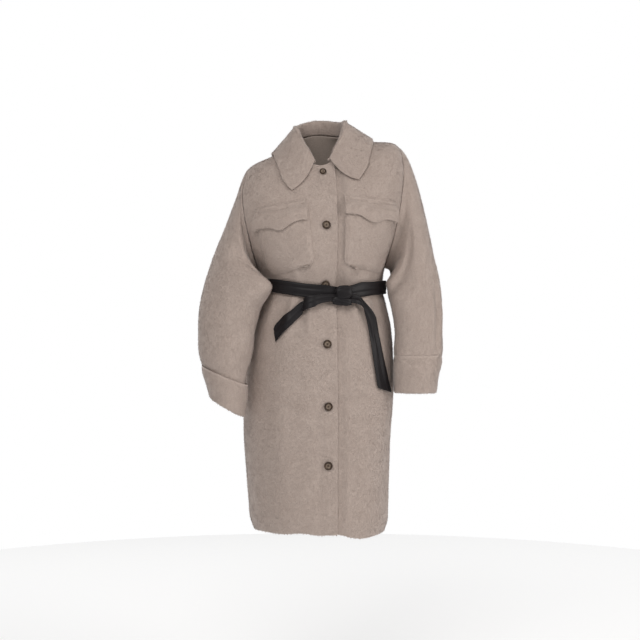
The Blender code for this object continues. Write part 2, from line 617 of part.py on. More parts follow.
def rounded_block(name, size, place, roll, material):
    """A soft lump of wound cloth: a cube with wide bevels."""
    bpy.ops.mesh.primitive_cube_add(size=1)
    obj = bpy.context.object
    obj.name = obj.data.name = name
    for point in obj.data.vertices:
        point.co = Vector(a * b for a, b in zip(point.co, size))
    obj.location = place
    obj.rotation_euler = (0, -roll, 0)
    bevel = obj.modifiers.new("round", "BEVEL")
    bevel.width = min(size) * 0.42
    bevel.segments = 3
    obj.data.materials.append(material)
    obj.data.shade_smooth()
    for collection in obj.users_collection:
        collection.objects.unlink(obj)
    COAT.objects.link(obj)
    return obj


def build_tail(name, table, rest, material):
    """A flat strip that hangs on the skirt, cut slanting at its end."""
    count = len(table["x"])
    table = dict(table, row=np.arange(count, dtype=float))
    row = np.linspace(0, count - 1, 3 * count)
    x, z, half = (through(table, "row", name, row) for name in ("x", "z", "half"))
    way = unit(np.stack([np.gradient(x), np.gradient(z)], -1))
    across = np.array([-1.0, 0.0, 1.0])[:, None]
    tip = TAIL_POINT * ease((row - (count - 2)) / 1.0) * 0.5
    shift = across * tip
    px = x + (-way[:, 1] * half) * across + way[:, 0] * shift
    pz = z + (way[:, 0] * half) * across + way[:, 1] * shift
    over_band = BELT_LIFT + BELT_THICK + 0.001
    lift = rest + (over_band - rest) * (1 - ease((row - 1.2) / 1.8))[None, :] + 0 * px
    outer = above_front(px, pz, lift + BELT_THICK * np.array([[0.7], [1.0], [0.7]]))
    inner = above_front(px, pz, lift)
    return wall(name, outer, inner, material)


# ---- buttons ----
def build_buttons(material):
    """Turned discs with a raised rim, set square on the right front."""
    for number, (z, size, seat) in enumerate(zip(*BUTTONS.values()), 1):
        radius = size / 2
        profile = ((0.0, 0.0016), (0.55, 0.0017), (0.72, 0.0030), (0.90, 0.0032),
                   (1.0, 0.0020), (0.92, 0.0002), (0.0, 0.0))
        mesh = bpy.data.meshes.new("button_%d" % number)
        points = [(share * radius, 0.0, height) for share, height in profile]
        mesh.from_pydata(points, [(i, i + 1) for i in range(len(points) - 1)], [])
        mesh.materials.append(material)
        button = bpy.data.objects.new("button_%d" % number, mesh)
        COAT.objects.link(button)
        screw = button.modifiers.new("turn", "SCREW")
        screw.steps = screw.render_steps = 14
        screw.use_merge_vertices = True
        screw.merge_threshold = 0.00005
        screw.use_normal_calculate = True
        up, angle = on_front(np.array([0.0]), np.array([z]))
        middle = through(TRUNK, "up", "middle", up)[0]
        spot = above_front(np.array([middle]), np.array([z]), [seat])[0]
        way = Vector(normals(trunk, up, angle)[0])
        button.location = spot
        button.rotation_euler = way.to_track_quat("Z", "Y").to_euler()


for old in list(bpy.data.objects):
    bpy.data.objects.remove(old)
COAT = fresh_collection("faux_fur_coat")
FUR_CLOTH = principled("blush_fur", (0.42, 0.33, 0.28), 0.9, 0.4)
BELT_CLOTH = principled("black_belt", (0.012, 0.010, 0.011), 0.45)
HORN = principled("brown_horn", (0.10, 0.055, 0.03), 0.35)
build_body(FUR_CLOTH)
build_sleeve("sleeve_right", SLEEVE_RIGHT, -1, FUR_CLOTH)
build_sleeve("sleeve_left", SLEEVE_LEFT, 1, FUR_CLOTH)
build_cuff("cuff_right", SLEEVE_RIGHT, -1, CUFF_RIGHT, FUR_CLOTH)
build_cuff("cuff_left", SLEEVE_LEFT, 1, CUFF_LEFT, FUR_CLOTH)
build_collar(FUR_CLOTH)
build_pockets(FUR_CLOTH)
build_belt(BELT_CLOTH)
build_buttons(HORN)
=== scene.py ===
import math

import bpy
import numpy as np
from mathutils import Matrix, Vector


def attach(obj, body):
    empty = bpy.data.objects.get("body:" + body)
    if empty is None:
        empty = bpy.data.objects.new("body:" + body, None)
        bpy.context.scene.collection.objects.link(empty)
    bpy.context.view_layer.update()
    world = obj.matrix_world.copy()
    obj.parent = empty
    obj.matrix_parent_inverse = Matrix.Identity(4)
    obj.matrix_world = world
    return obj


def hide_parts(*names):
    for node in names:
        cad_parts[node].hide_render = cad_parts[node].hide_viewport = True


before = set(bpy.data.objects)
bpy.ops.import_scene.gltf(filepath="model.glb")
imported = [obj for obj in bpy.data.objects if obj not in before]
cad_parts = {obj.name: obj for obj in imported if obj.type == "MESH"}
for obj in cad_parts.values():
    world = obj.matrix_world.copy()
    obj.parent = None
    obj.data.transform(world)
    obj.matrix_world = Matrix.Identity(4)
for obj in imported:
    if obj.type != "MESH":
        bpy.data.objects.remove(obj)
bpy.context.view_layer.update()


# ---- Studio ----
# The coat keeps the pose of its wearer, with nothing inside it.  The camera stands 3.2 m off, a
# little below the belt and 8 degrees to the coat's right, with big soft lights before and behind.
VIEW_DISTANCE, VIEW_TURN, VIEW_HEIGHT = 3.2, math.radians(8), -0.455
HALF_VIEW, HALF_SENSOR = 0.832, 18     # middle to edge of the picture: metres there, mm inside
FLOOR_HEIGHT, FLOOR_RADIUS, FLOOR_GLOW = -1.46, 2.6, 0.14
ROOM_GLOW = 0.36


def added(name, data):
    """A new object in the scene."""
    item = bpy.data.objects.new(name, data)
    bpy.context.scene.collection.objects.link(item)
    return item


def circle(count):
    """Angles evenly round a circle."""
    return np.linspace(0, 2 * math.pi, count, endpoint=False)


camera = added("camera", bpy.data.cameras.new("camera"))
camera.data.lens = HALF_SENSOR * VIEW_DISTANCE / HALF_VIEW
camera.location = (-VIEW_DISTANCE * math.sin(VIEW_TURN), -VIEW_DISTANCE * math.cos(VIEW_TURN),
                   VIEW_HEIGHT)
camera.rotation_euler = (math.pi / 2, 0, -VIEW_TURN)
bpy.context.scene.camera = camera
bpy.context.scene.view_settings.view_transform = "Standard"

floor_mesh = bpy.data.meshes.new("studio_floor")
floor_mesh.from_pydata([(FLOOR_RADIUS * math.cos(turn), FLOOR_RADIUS * math.sin(turn), FLOOR_HEIGHT)
                        for turn in circle(96)], [], [range(96)])
floor = added("studio_floor", floor_mesh)
floor_paint = bpy.data.materials.new("studio_floor")
floor_paint.use_nodes = True
floor_cover = floor_paint.node_tree.nodes["Principled BSDF"].inputs
floor_cover["Base Color"].default_value = (0.9, 0.9, 0.9, 1)
floor_cover["Roughness"].default_value = 0.9
floor_cover["Emission Color"].default_value = (1, 1, 1, 1)
floor_cover["Emission Strength"].default_value = FLOOR_GLOW
floor_mesh.materials.append(floor_paint)


def soft_light(name, place, aim, size, power, colour=(1, 1, 1)):
    """A square area light at a place, turned to face a point."""
    light = bpy.data.lights.new(name, "AREA")
    light.size, light.energy, light.color = size, power, colour
    lamp = added(name, light)
    lamp.location = place
    lamp.rotation_euler = (Vector(aim) - Vector(place)).to_track_quat("-Z", "Y").to_euler()


soft_light("key", (-0.9, -2.3, 1.5), (0, 0, -0.25), 1.5, 33, (1.0, 0.985, 0.97))
soft_light("fill", (2.2, -2.0, 0.2), (0.1, 0, -0.30), 1.4, 30, (1.0, 0.975, 0.95))
soft_light("back_left", (-2.2, 2.6, 1.6), (0, 0, -0.4), 2.0, 50)
soft_light("back_right", (2.2, 2.6, 1.6), (0, 0, -0.4), 2.0, 50)

room = bpy.data.worlds.new("studio")
room.use_nodes = True
bpy.context.scene.world = room
room_nodes = room.node_tree.nodes
room_glow = room_nodes["Background"]
room_glow.inputs["Color"].default_value = (1, 1, 1, 1)
room_glow.inputs["Strength"].default_value = ROOM_GLOW
room_seen = room_nodes.new("ShaderNodeBackground")
room_seen.inputs["Color"].default_value = (1, 1, 1, 1)
room_rays = room_nodes.new("ShaderNodeLightPath")
room_mix = room_nodes.new("ShaderNodeMixShader")
for source, target in ((room_rays.outputs["Is Camera Ray"], room_mix.inputs[0]),
                       (room_glow.outputs[0], room_mix.inputs[1]),
                       (room_seen.outputs[0], room_mix.inputs[2]),
                       (room_mix.outputs[0], room_nodes["World Output"].inputs["Surface"])):
    room.node_tree.links.new(source, target)


# ---- Fronts and back ----
# Three big pieces of short-pile faux fur, sewn together at the sides and shoulders, the right
# front lapping over the left.  The belt draws them in, and they fall in soft folds below it.
FUR, PILE = 0.0055, 0.0018               # backing and pile together, and the pile's part of it
SEAM = 0.0003                            # air between two pieces that are sewn together
BELT, UNDERARM, SHOULDER, NECK = 0.633, 0.680, 0.968, 1.105    # lengths up the side
ARMHOLE_ANGLE = math.radians(21)         # half its width, round the body
LAP = 0.024                              # how far each front passes the centre front
FRONT_ANGLE, BACK_ANGLE = -math.pi / 2, math.pi / 2
PINCH, PINCH_REACH = 0.9, 0.022          # how much the belt flattens folds, and how near it


def columns(names, rows):
    """One array for each named column of a table."""
    return dict(zip(names.split(), np.array(rows, float).T))


TRUNK = columns(
    # length up the side seam; heights of the ring there and at centre front and back; how they
    # blend; half widths and depths; the superellipse's power; its middle; and its tilt
    "up side front back dip right left chest spine square middle slope", (
    (0,     -0.999, -0.99,  -1.002, 1,   0.172, 0.168, 0.143, 0.152, 2.2, 0,      -0.03),
    (0.03,  -0.971, -0.962, -0.974, 1,   0.182, 0.176, 0.148, 0.157, 2.2, 0,      -0.03),
    (0.07,  -0.931, -0.922, -0.934, 1,   0.186, 0.178, 0.149, 0.158, 2.2, 0,      -0.03),
    (0.155, -0.85,  -0.841, -0.852, 1,   0.192, 0.18,  0.149, 0.158, 2.2, 0,      -0.02),
    (0.265, -0.74,  -0.734, -0.741, 1,   0.199, 0.184, 0.15,  0.159, 2.2, 0,      0),
    (0.355, -0.65,  -0.647, -0.65,  1,   0.198, 0.189, 0.15,  0.159, 2.2, 0,      0),
    (0.455, -0.55,  -0.552, -0.55,  1,   0.188, 0.188, 0.145, 0.154, 2.2, -0.001, 0),
    (0.535, -0.47,  -0.476, -0.47,  1,   0.174, 0.182, 0.137, 0.144, 2.1, -0.002, 0.01),
    (0.59,  -0.41,  -0.424, -0.41,  1,   0.158, 0.171, 0.126, 0.128, 2.1, -0.002, -0.01),
    (0.633, -0.366, -0.385, -0.365, 1,   0.149, 0.165, 0.116, 0.114, 2.1, -0.002, -0.02),
    (0.66,  -0.342, -0.359, -0.342, 1,   0.153, 0.168, 0.122, 0.117, 2.1, -0.003, 0),
    (0.68,  -0.325, -0.338, -0.326, 1,   0.16,  0.172, 0.131, 0.121, 2.1, -0.003, 0.03),
    (0.76,  -0.245, -0.29,  -0.262, 1,   0.2,   0.205, 0.143, 0.127, 2.2, -0.003, 0.07),
    (0.845, -0.16,  -0.252, -0.212, 1,   0.224, 0.228, 0.147, 0.13,  2.3, -0.003, 0.11),
    (0.915, -0.086, -0.224, -0.175, 1,   0.216, 0.229, 0.146, 0.13,  2.3, -0.004, 0.15),
    (0.968, -0.035, -0.198, -0.143, 1,   0.183, 0.208, 0.142, 0.128, 2.2, -0.005, 0.17),
    (1.04,  -0.01,  -0.135, -0.06,  1.2, 0.114, 0.136, 0.129, 0.109, 2.1, -0.006, 0.16),
    (1.105, 0.018,  -0.062, 0.035,  1.5, 0.06,  0.074, 0.092, 0.076, 2.1, -0.007, 0.13),
))

# Gathers above and below the belt and the long folds of the skirt: angle round the body,
# middle up, reach up and down, width in degrees, depth, and its lean in degrees over its reach.
FOLD_COLUMNS = "angle middle reach width depth lean"
FOLDS = columns(FOLD_COLUMNS, (
    (-128, 0.575, 0.062, 4.5, 0.008,   3),
    (-116, 0.585, 0.05,  3.6, -0.006,  2),
    (-108, 0.575, 0.055, 4.2, 0.0055,  0),
    (-67,  0.582, 0.05,  4,   -0.0055, 0),
    (-58,  0.578, 0.055, 4.2, 0.0065,  -2),
    (-43,  0.573, 0.065, 5,   0.008,   -3),
    (-32,  0.586, 0.048, 3.8, -0.006,  -2),
    (-27,  0.43,  0.15,  15,  0.009,   0),
    (-122, 0.672, 0.028, 5,   0.004,   0),
    (-64,  0.67,  0.028, 5.5, 0.0035,  0),
    (-40,  0.672, 0.03,  5,   0.0045,  0),
    (-150, 0.56,  0.08,  6,   0.0055,  0),
    (-14,  0.56,  0.08,  6,   0.005,   0),
    (14,   0.575, 0.07,  6,   0.0055,  0),
    (38,   0.58,  0.06,  5.5, 0.0065,  0),
    (52,   0.585, 0.05,  4.5, -0.0045, 0),
    (66,   0.575, 0.065, 5.5, 0.0055,  0),
    (88,   0.58,  0.055, 5.5, 0.005,   0),
    (101,  0.585, 0.05,  4.5, -0.0045, 0),
    (116,  0.578, 0.065, 5.5, 0.0065,  0),
    (140,  0.575, 0.07,  6,   0.0055,  0),
    (48,   0.69,  0.04,  7,   0.006,   0),
    (84,   0.688, 0.04,  7,   0.0055,  0),
    (124,  0.69,  0.04,  7,   0.006,   0),
    (-98,  0.12,  0.18,  6,   -0.0035, 0),
    (-132, 0.21,  0.22,  9,   0.004,   0),
    (-52,  0.18,  0.2,   9,   0.004,   0),
    (-24,  0.16,  0.19,  8,   -0.0035, 0),
    (62,   0.15,  0.2,   9,   -0.005,  0),
    (118,  0.17,  0.22,  9,   -0.005,  0),
))


def cubic(values, slopes, i, t, span=1):
    """Between value i and the next: the cubic that keeps both values and both slopes."""
    return (values[i] * (2 * t**3 - 3 * t**2 + 1) + values[i + 1] * (3 * t**2 - 2 * t**3)
            + span * (slopes[i] * (t**3 - 2 * t**2 + t) + slopes[i + 1] * (t**3 - t**2)))


def through(table, along, name, at):
    """Smooth curve through one column of a table: cubic pieces with their neighbours' slopes."""
    knots, values = table[along], table[name]
    i = np.clip(np.searchsorted(knots, at, side="right") - 1, 0, len(knots) - 2)
    span = knots[i + 1] - knots[i]
    return cubic(values, np.gradient(values, knots), i, (at - knots[i]) / span, span)


def ease(t):
    """Smooth step from 0 at t = 0 to 1 at t = 1."""
    t = np.clip(t, 0, 1)
    return t * t * (3 - 2 * t)


def unit(v):
    """Vectors scaled to length one."""
    return v / np.maximum(np.linalg.norm(v, axis=-1, keepdims=True), 1e-12)


def near(angle, at, width, along, middle, reach):
    """1 at a spot of a surface and less round it: exp of minus the squares of both distances."""
    away = (np.degrees(angle) - at + 180) % 360 - 180
    return np.exp(-(away / width)**2 - ((along - middle) / reach)**2)


def ridges(table, along, angle):
    """Height of soft ridges and troughs: the sum of the table's rows, each leaning as it goes."""
    total = np.zeros(np.broadcast(along, angle).shape)
    for at, middle, reach, width, depth, lean in zip(*table.values()):
        leaning = at + lean * (along - middle) / reach
        total += depth * near(angle, leaning, width, along, middle, reach)
    return total


def folds(up, angle):
    """Height of gathers and folds, flattened under the belt."""
    return ridges(FOLDS, up, angle) * (1 - PINCH * np.exp(-((up - BELT) / PINCH_REACH)**2))


def trunk(up, angle):
    """Where the tips of the pile lie: superellipse rings that rise and dip with the body."""
    up, angle = np.broadcast_arrays(np.asarray(up, float), np.asarray(angle, float))
    ring = {name: through(TRUNK, "up", name, up) for name in TRUNK if name != "up"}
    c, s = np.cos(angle), np.sin(angle)
    wide = np.where(c < 0, ring["right"], ring["left"])
    deep = np.where(s < 0, ring["chest"], ring["spine"])
    power = ring["square"]
    radius = ((np.abs(c) / wide)**power + (np.abs(s) / deep)**power)**(-1 / power)
    radius = radius + folds(up, angle)
    end = np.where(s < 0, ring["front"], ring["back"])
    z = ring["side"] + (end - ring["side"]) * np.abs(s)**(2 * ring["dip"])
    x = ring["middle"] + radius * c
    return np.stack([x, radius * s, z + ring["slope"] * radius * c], -1)


def normals(surface, p, q, step=2e-4):
    """Unit normals of a surface of two parameters, from its slopes."""
    along_p = surface(p + step, q) - surface(p - step, q)
    along_q = surface(p, q + step) - surface(p, q - step)
    return unit(np.cross(along_q, along_p))


def grid_normals(face, ring=False):
    """Unit normals of a grid of points: across its columns times along its rows."""
    along = np.gradient(face, axis=0)
    across = (np.roll(face, -1, 1) - np.roll(face, 1, 1)) / 2 if ring else np.gradient(face, axis=1)
    return unit(np.cross(across, along))


def closed(grid):
    """A grid with its first column again at its end, so that it closes round."""
    return np.concatenate([grid, grid[:, :1]], axis=1)


def numbered(points):
    """The numbers of a grid of points, row by row."""
    return np.arange(points[..., 0].size).reshape(points.shape[:2])


def quads(grid):
    """Faces with four corners between the rows and columns of a numbered grid."""
    return np.stack([grid[:-1, :-1], grid[:-1, 1:], grid[1:, 1:], grid[1:, :-1]], -1).reshape(-1, 4)


def soft_shares(length, radius, steps):
    """Shares from edge to edge of a sheet, closer where its edges round off."""
    edge = np.array([0.0, 0.1, 0.35, 1.0]) * radius / np.asarray(length, float)[..., None]
    inside = edge[..., -1:] + (1 - 2 * edge[..., -1:]) * np.linspace(0, 1, steps + 1)[1:-1]
    return np.concatenate([edge, inside, 1 - edge[..., ::-1]], axis=-1)


def rounding(distance, radius):
    """How full a sheet is at a distance from its edge: from 0.4 by a quarter circle up to 1."""
    return 0.4 + 0.6 * np.sqrt(np.clip(1 - (1 - np.clip(distance / radius, 0, 1))**2, 0, 1))


def swirl(spot, size):
    """Slow uneven waves over the cloth between -1 and 1: sines along four slanting ways."""
    x, y, z = spot[..., 0] / size, spot[..., 1] / size, spot[..., 2] / size
    return (np.sin(2.1 * x + 1.3 * z + 0.4) + np.sin(1.7 * z - 1.9 * y + 2.2)
            + np.sin(2.9 * y + 0.8 * x - 1.1 * z) + np.sin(3.3 * z + 2.3 * x - 0.7 * y)) / 4


def uneven(face, height, size):
    """A grid of points with slow uneven waves over it, so that cloth isn't too smooth."""
    return face + grid_normals(face) * (height * swirl(face, size))[..., None]


def mesh_object(name, points, faces, materials, kinds=None, uv=None):
    """A mesh object at the origin, from arrays of points and faces of equal size."""
    points, faces = np.asarray(points, np.float32).reshape(-1, 3), np.asarray(faces, np.int32)
    mesh = bpy.data.meshes.new(name)
    mesh.vertices.add(len(points))
    mesh.vertices.foreach_set("co", points.ravel())
    mesh.loops.add(faces.size)
    mesh.loops.foreach_set("vertex_index", faces.ravel())
    mesh.polygons.add(len(faces))
    mesh.polygons.foreach_set("loop_start", np.arange(0, faces.size, faces.shape[1], dtype=np.int32))
    for material in materials:
        mesh.materials.append(material)
    if kinds is not None:
        mesh.polygons.foreach_set("material_index", np.asarray(kinds, np.int32))
    mesh.polygons.foreach_set("use_smooth", np.ones(len(faces), bool))
    if uv is not None:
        layer = mesh.uv_layers.new(name="lock")
        layer.uv.foreach_set("vector", np.asarray(uv, np.float32)[faces.ravel()].ravel())
    mesh.update(calc_edges=True)
    return added(name, mesh)


def cloth_wall(name, face, full, materials, top=PILE, thick=FUR - PILE, ring=False):
    """A sheet of cloth under the surface that its pile reaches: an outer and an inner grid half a
    thickness either side of its middle, drawn together at its edges.  Returns it and its face."""
    normal = grid_normals(face, ring)
    middle = face - normal * (top + thick / 2)
    half = normal * (thick / 2 * np.broadcast_to(full, face.shape[:2]))[..., None]
    outer, inner = middle + half, middle - half
    grid = numbered(face)
    count = grid.size
    if ring:
        grid = closed(grid)
    skin = quads(grid)
    edges = [grid[0][::-1], grid[-1]]
    if not ring:
        edges += [grid[:, 0], grid[:, -1][::-1]]
    rims = [np.stack([e[:-1], e[1:], e[1:] + count, e[:-1] + count], -1) for e in edges]
    faces = np.concatenate([skin, skin[:, ::-1] + count] + rims)
    kinds = np.zeros(len(faces), int)
    kinds[len(skin):2 * len(skin)] = 1
    return mesh_object(name, np.stack([outer, inner]), faces, materials, kinds), outer


def worn(piece, slot, *nodes):
    """The piece moves with the coat and stands for these solids.  The slot is not used."""
    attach(piece, "root")
    if nodes:
        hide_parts(*nodes)


LOCKS, LOCK_LENGTH, LOCK_WIDTH = 260000, 0.0044, 0.00125    # locks to the square metre, sizes
LOCK_ROOT = 0.0003                       # how deep its foot is sunk in the cloth
LOCK_LEAN, LEAN_SPREAD = 1.24, 0.13      # radians from upright
TURN_SWIRL, TURN_SPREAD, ROLL_SPREAD = 0.45, 0.6, 0.25
OWN_SHADE = 0.22                         # how much a lock's own face counts in its shading


def pile(name, root, seed, ring=False):
    """Fur as single pointed locks spread evenly over a grid.  Each stands on the cloth, leans by
    about the same angle down the garment, is turned aside by slow swirls and by chance, has its
    face outwards and is shaded mostly like the cloth under it.  Its UV map runs from root to
    point, with a random shade across."""
    rng = np.random.default_rng(seed)
    normal = grid_normals(root, ring)
    if ring:
        root, normal = closed(root), closed(normal)
    diagonals = np.cross(root[1:, 1:] - root[:-1, :-1], root[1:, :-1] - root[:-1, 1:])
    area = np.linalg.norm(diagonals, axis=-1).ravel()
    count = int(area.sum() / 2 * LOCKS / (1))
    cell = np.searchsorted(np.cumsum(area) / area.sum(), rng.random(count)).clip(0, area.size - 1)
    i, j = np.unravel_index(cell, (root.shape[0] - 1, root.shape[1] - 1))
    s, t = rng.random((2, count, 1))

    def at(grid):
        """The grid's value at each lock's foot, mixed from its cell's four corners."""
        return ((grid[i, j] * (1 - t) + grid[i, j + 1] * t) * (1 - s)
                + (grid[i + 1, j] * (1 - t) + grid[i + 1, j + 1] * t) * s)

    foot, out = at(root), unit(at(normal))
    down = np.array([0.0, -0.15, -1.0]) - 0.15 * out
    down = unit(down - out * (down * out).sum(-1, keepdims=True))
    aside = np.cross(out, down)
    turn = (TURN_SWIRL * swirl(foot, 0.02) + TURN_SPREAD * rng.standard_normal(count))[:, None]
    way = down * np.cos(turn) + aside * np.sin(turn)
    tilt = (LOCK_LEAN + LEAN_SPREAD * rng.standard_normal(count)).clip(0.7, 1.45)[:, None]
    lock = out * np.cos(tilt) + way * np.sin(tilt)
    roll = (ROLL_SPREAD * rng.standard_normal(count)).clip(-0.6, 0.6)[:, None]
    side = unit(np.cross(lock, out))
    side = side * np.cos(roll) + np.cross(lock, side) * np.sin(roll)
    long = (LOCK_LENGTH * (0.7 + 0.6 * rng.random(count)))[:, None]
    half = side * (LOCK_WIDTH / 2 * (0.7 + 0.6 * rng.random(count)))[:, None]
    low, high = foot - out * LOCK_ROOT - half, foot - out * LOCK_ROOT + half
    tip = foot + lock * long
    wrong = (np.cross(high - low, tip - low) * out).sum(-1, keepdims=True) < 0
    low, high = np.where(wrong, high, low), np.where(wrong, low, high)
    points = np.stack([low, high, tip], 1).reshape(-1, 3)
    shade = np.repeat(rng.random(count), 3)
    uv = np.stack([shade, np.tile([0.0, 0.0, 1.0], count)], -1)
    piece = mesh_object(name, points, np.arange(3 * count).reshape(-1, 3), [tips], uv=uv)
    own = unit(np.cross(points[1::3] - points[::3], points[2::3] - points[::3]))
    shading = np.repeat(unit(out + OWN_SHADE * own), 3, axis=0)
    piece.data.normals_split_custom_set_from_vertices(shading)
    worn(piece, "fur")
    return piece


def shader(name, roughness, sheen=0.0, sheen_roughness=0.5):
    """A Principled material, its node tree and the node that shades it."""
    material = bpy.data.materials.new(name)
    material.use_nodes = True
    tree = material.node_tree
    cover = tree.nodes["Principled BSDF"]
    cover.inputs["Roughness"].default_value = roughness
    cover.inputs["Sheen Weight"].default_value = sheen
    cover.inputs["Sheen Roughness"].default_value = sheen_roughness
    cover.inputs["Specular IOR Level"].default_value = 0.25
    return material, tree, cover


def noise(tree, scale, detail=2.0, squash=(1, 1, 1)):
    """Noise on Object coordinates, its size about one over the scale in metres."""
    place = tree.nodes.new("ShaderNodeTexCoord")
    turn = tree.nodes.new("ShaderNodeMapping")
    turn.inputs["Scale"].default_value = squash
    cloud = tree.nodes.new("ShaderNodeTexNoise")
    cloud.inputs["Scale"].default_value = scale
    cloud.inputs["Detail"].default_value = detail
    tree.links.new(place.outputs["Object"], turn.inputs["Vector"])
    tree.links.new(turn.outputs["Vector"], cloud.inputs["Vector"])
    return cloud.outputs["Fac"]


def ramp(tree, value, *stops):
    """Colours along a value: each stop is (place, colour)."""
    node = tree.nodes.new("ShaderNodeValToRGB")
    while len(node.color_ramp.elements) < len(stops):
        node.color_ramp.elements.new(0.5)
    for element, (place, colour) in zip(node.color_ramp.elements, stops):
        element.position, element.color = place, (*colour, 1)
    tree.links.new(value, node.inputs["Fac"])
    return node.outputs["Color"]


def multiplied(tree, first, second):
    """Two colours multiplied together."""
    node = tree.nodes.new("ShaderNodeMix")
    node.data_type, node.blend_type = "RGBA", "MULTIPLY"
    node.inputs[0].default_value = 1.0
    tree.links.new(first, node.inputs[6])
    tree.links.new(second, node.inputs[7])
    return node.outputs[2]


def coloured(tree, cover, colour):
    """The colour goes into the shader."""
    tree.links.new(colour, cover.inputs["Base Color"])


def raised(tree, cover, height, depth):
    """Fine relief: a height bumped by depth metres."""
    bump = tree.nodes.new("ShaderNodeBump")
    bump.inputs["Distance"].default_value = depth
    bump.inputs["Strength"].default_value = 1.0
    tree.links.new(height, bump.inputs["Height"])
    tree.links.new(bump.outputs["Normal"], cover.inputs["Normal"])


# Fur colours: the darkest is painted shade, for the valleys of the nap and the roots of the locks; then
# the blush itself, and its paler tips.
BLUSH_SHADED, BLUSH, BLUSH_PALE = (0.440, 0.355, 0.310), (0.510, 0.420, 0.370), (0.560, 0.470, 0.420)


def patches(tree):
    """Slow patches over the garment that shade its colour a little darker or paler."""
    return ramp(tree, noise(tree, 22.0, 3.0), (0.3, (0.955, 0.945, 0.94)), (0.7, (1.02, 1.02, 1.02)))


nap, nap_tree, nap_cover = shader("nap", 0.95, 0.35)
# One noise both bumps the nap and darkens its colour where the relief is low: painted shade in the nap's
# valleys.
nap_relief_and_shade = noise(nap_tree, 260.0, 3.0)
nap_valley_shade = ramp(nap_tree, nap_relief_and_shade, (0.3, BLUSH_SHADED), (0.62, BLUSH))
coloured(nap_tree, nap_cover, multiplied(nap_tree, nap_valley_shade, patches(nap_tree)))
raised(nap_tree, nap_cover, nap_relief_and_shade, 0.0012)

tips, tips_tree, tips_cover = shader("pile_tips", 0.9, 0.30)
lock_map = tips_tree.nodes.new("ShaderNodeUVMap")
lock_map.uv_map = "lock"
lock_parts = tips_tree.nodes.new("ShaderNodeSeparateXYZ")
tips_tree.links.new(lock_map.outputs["UV"], lock_parts.inputs["Vector"])
# Each lock runs from a darker root, painted shade where the locks cover each other, to a paler point.
lock_root_shade = ramp(tips_tree, lock_parts.outputs["Y"], (0.0, BLUSH_SHADED), (0.75, BLUSH_PALE))
lock_tone = ramp(tips_tree, lock_parts.outputs["X"], (0.0, (0.93, 0.925, 0.92)), (1.0, (1.04, 1.04, 1.04)))
coloured(tips_tree, tips_cover, multiplied(tips_tree, multiplied(tips_tree, lock_root_shade, lock_tone),
                                           patches(tips_tree)))

backing, backing_tree, backing_cover = shader("backing_cloth", 0.9, 0.2)
backing_knit = noise(backing_tree, 700.0, 2.0, (1, 1, 0.5))
coloured(backing_tree, backing_cover, ramp(backing_tree, backing_knit, (0.3, (0.36, 0.295, 0.255)),
                                           (0.7, (0.46, 0.385, 0.335))))
raised(backing_tree, backing_cover, backing_knit, 0.0004)
FUR_CLOTH = [nap, backing]

HEM_FADE = 0.09                          # height up to which the hem's waves run out
HEM_WAVES = columns(FOLD_COLUMNS, [     # where the hem hangs lower or higher: angle, width, drop
    (angle, 0, HEM_FADE, width, drop, 0) for angle, width, drop in (
        (-57, 17, 0.0085), (-98, 9, 0.0025), (-118, 12, -0.0035), (-155, 16, -0.003),
        (-12, 14, -0.0025), (48, 18, 0.005), (92, 15, -0.003), (135, 18, 0.0045))])
EDGE = 0.0026                            # radius to which the cut edges of the fur round off
SKIRT_STEPS, ARMHOLE_STEPS, YOKE_STEPS = 104, 44, 22
WAVER, WAVER_SIZE = 0.0004, 0.03         # height and size of the cloth's slow unevenness
MEAN_RADIUS = 0.15                       # of the body, to turn a panel's angles into its width
LAP_AIR, LAP_RAMP = 0.0009, 0.023        # air under the lap, and how far its ramp runs beside it


def armhole(turn):
    """Length up and angle from the side, round the armhole: 0 at the shoulder, pi under the arm."""
    middle, half = (SHOULDER + UNDERARM) / 2, (SHOULDER - UNDERARM) / 2
    return middle + half * np.cos(turn), ARMHOLE_ANGLE * np.sin(turn)


def panel_rows():
    """Lengths up of a panel's rows and the angle from the side at which each row ends."""
    below = soft_shares(UNDERARM, EDGE, SKIRT_STEPS)[:-4] * UNDERARM
    ups, sides = armhole(np.linspace(math.pi, 0, ARMHOLE_STEPS + 1))
    above = SHOULDER + soft_shares(NECK - SHOULDER, EDGE, YOKE_STEPS)[4:] * (NECK - SEAM - SHOULDER)
    up = np.concatenate([below, ups, above])
    return up, np.concatenate([np.zeros(len(below)), sides, np.zeros(len(above))])


def panel(name, first, last, steps, seed, sink=None):
    """A front or the back between two angles of each row, its pile and its cut."""
    up = panel_rows()[0]
    length = (last - first) * MEAN_RADIUS
    share = soft_shares(length, EDGE, steps)
    angle = first[:, None] + (last - first)[:, None] * share
    rows = np.repeat(up[:, None], share.shape[1], axis=1)
    face = trunk(rows, angle)
    face[..., 2] -= ridges(HEM_WAVES, rows, angle)
    face = uneven(face, WAVER, WAVER_SIZE)
    if sink is not None:
        face = face - normals(trunk, rows, angle) * sink(face[..., 0])[..., None]
    aside = np.minimum(share, 1 - share) * length[:, None]
    ends = np.minimum(up, NECK - SEAM - up)[:, None]
    full = rounding(aside, EDGE) * rounding(ends, EDGE)
    piece, outer = cloth_wall(name + "_cloth", face, full, FUR_CLOTH)
    worn(piece, "fur", name)
    pile(name + "_pile", outer, seed)


def front_edge_angle(up, x):
    """Angle at which the ring at this length up passes x beside the centre front."""
    depth = through(TRUNK, "up", "chest", up)
    return FRONT_ANGLE + np.arcsin((x - through(TRUNK, "up", "middle", up)) / depth)


def under_lap(x):
    """The left front lies one wall deeper where the right front covers it."""
    return (FUR + SEAM + LAP_AIR) * ease((LAP + 0.006 + LAP_RAMP - x) / LAP_RAMP)


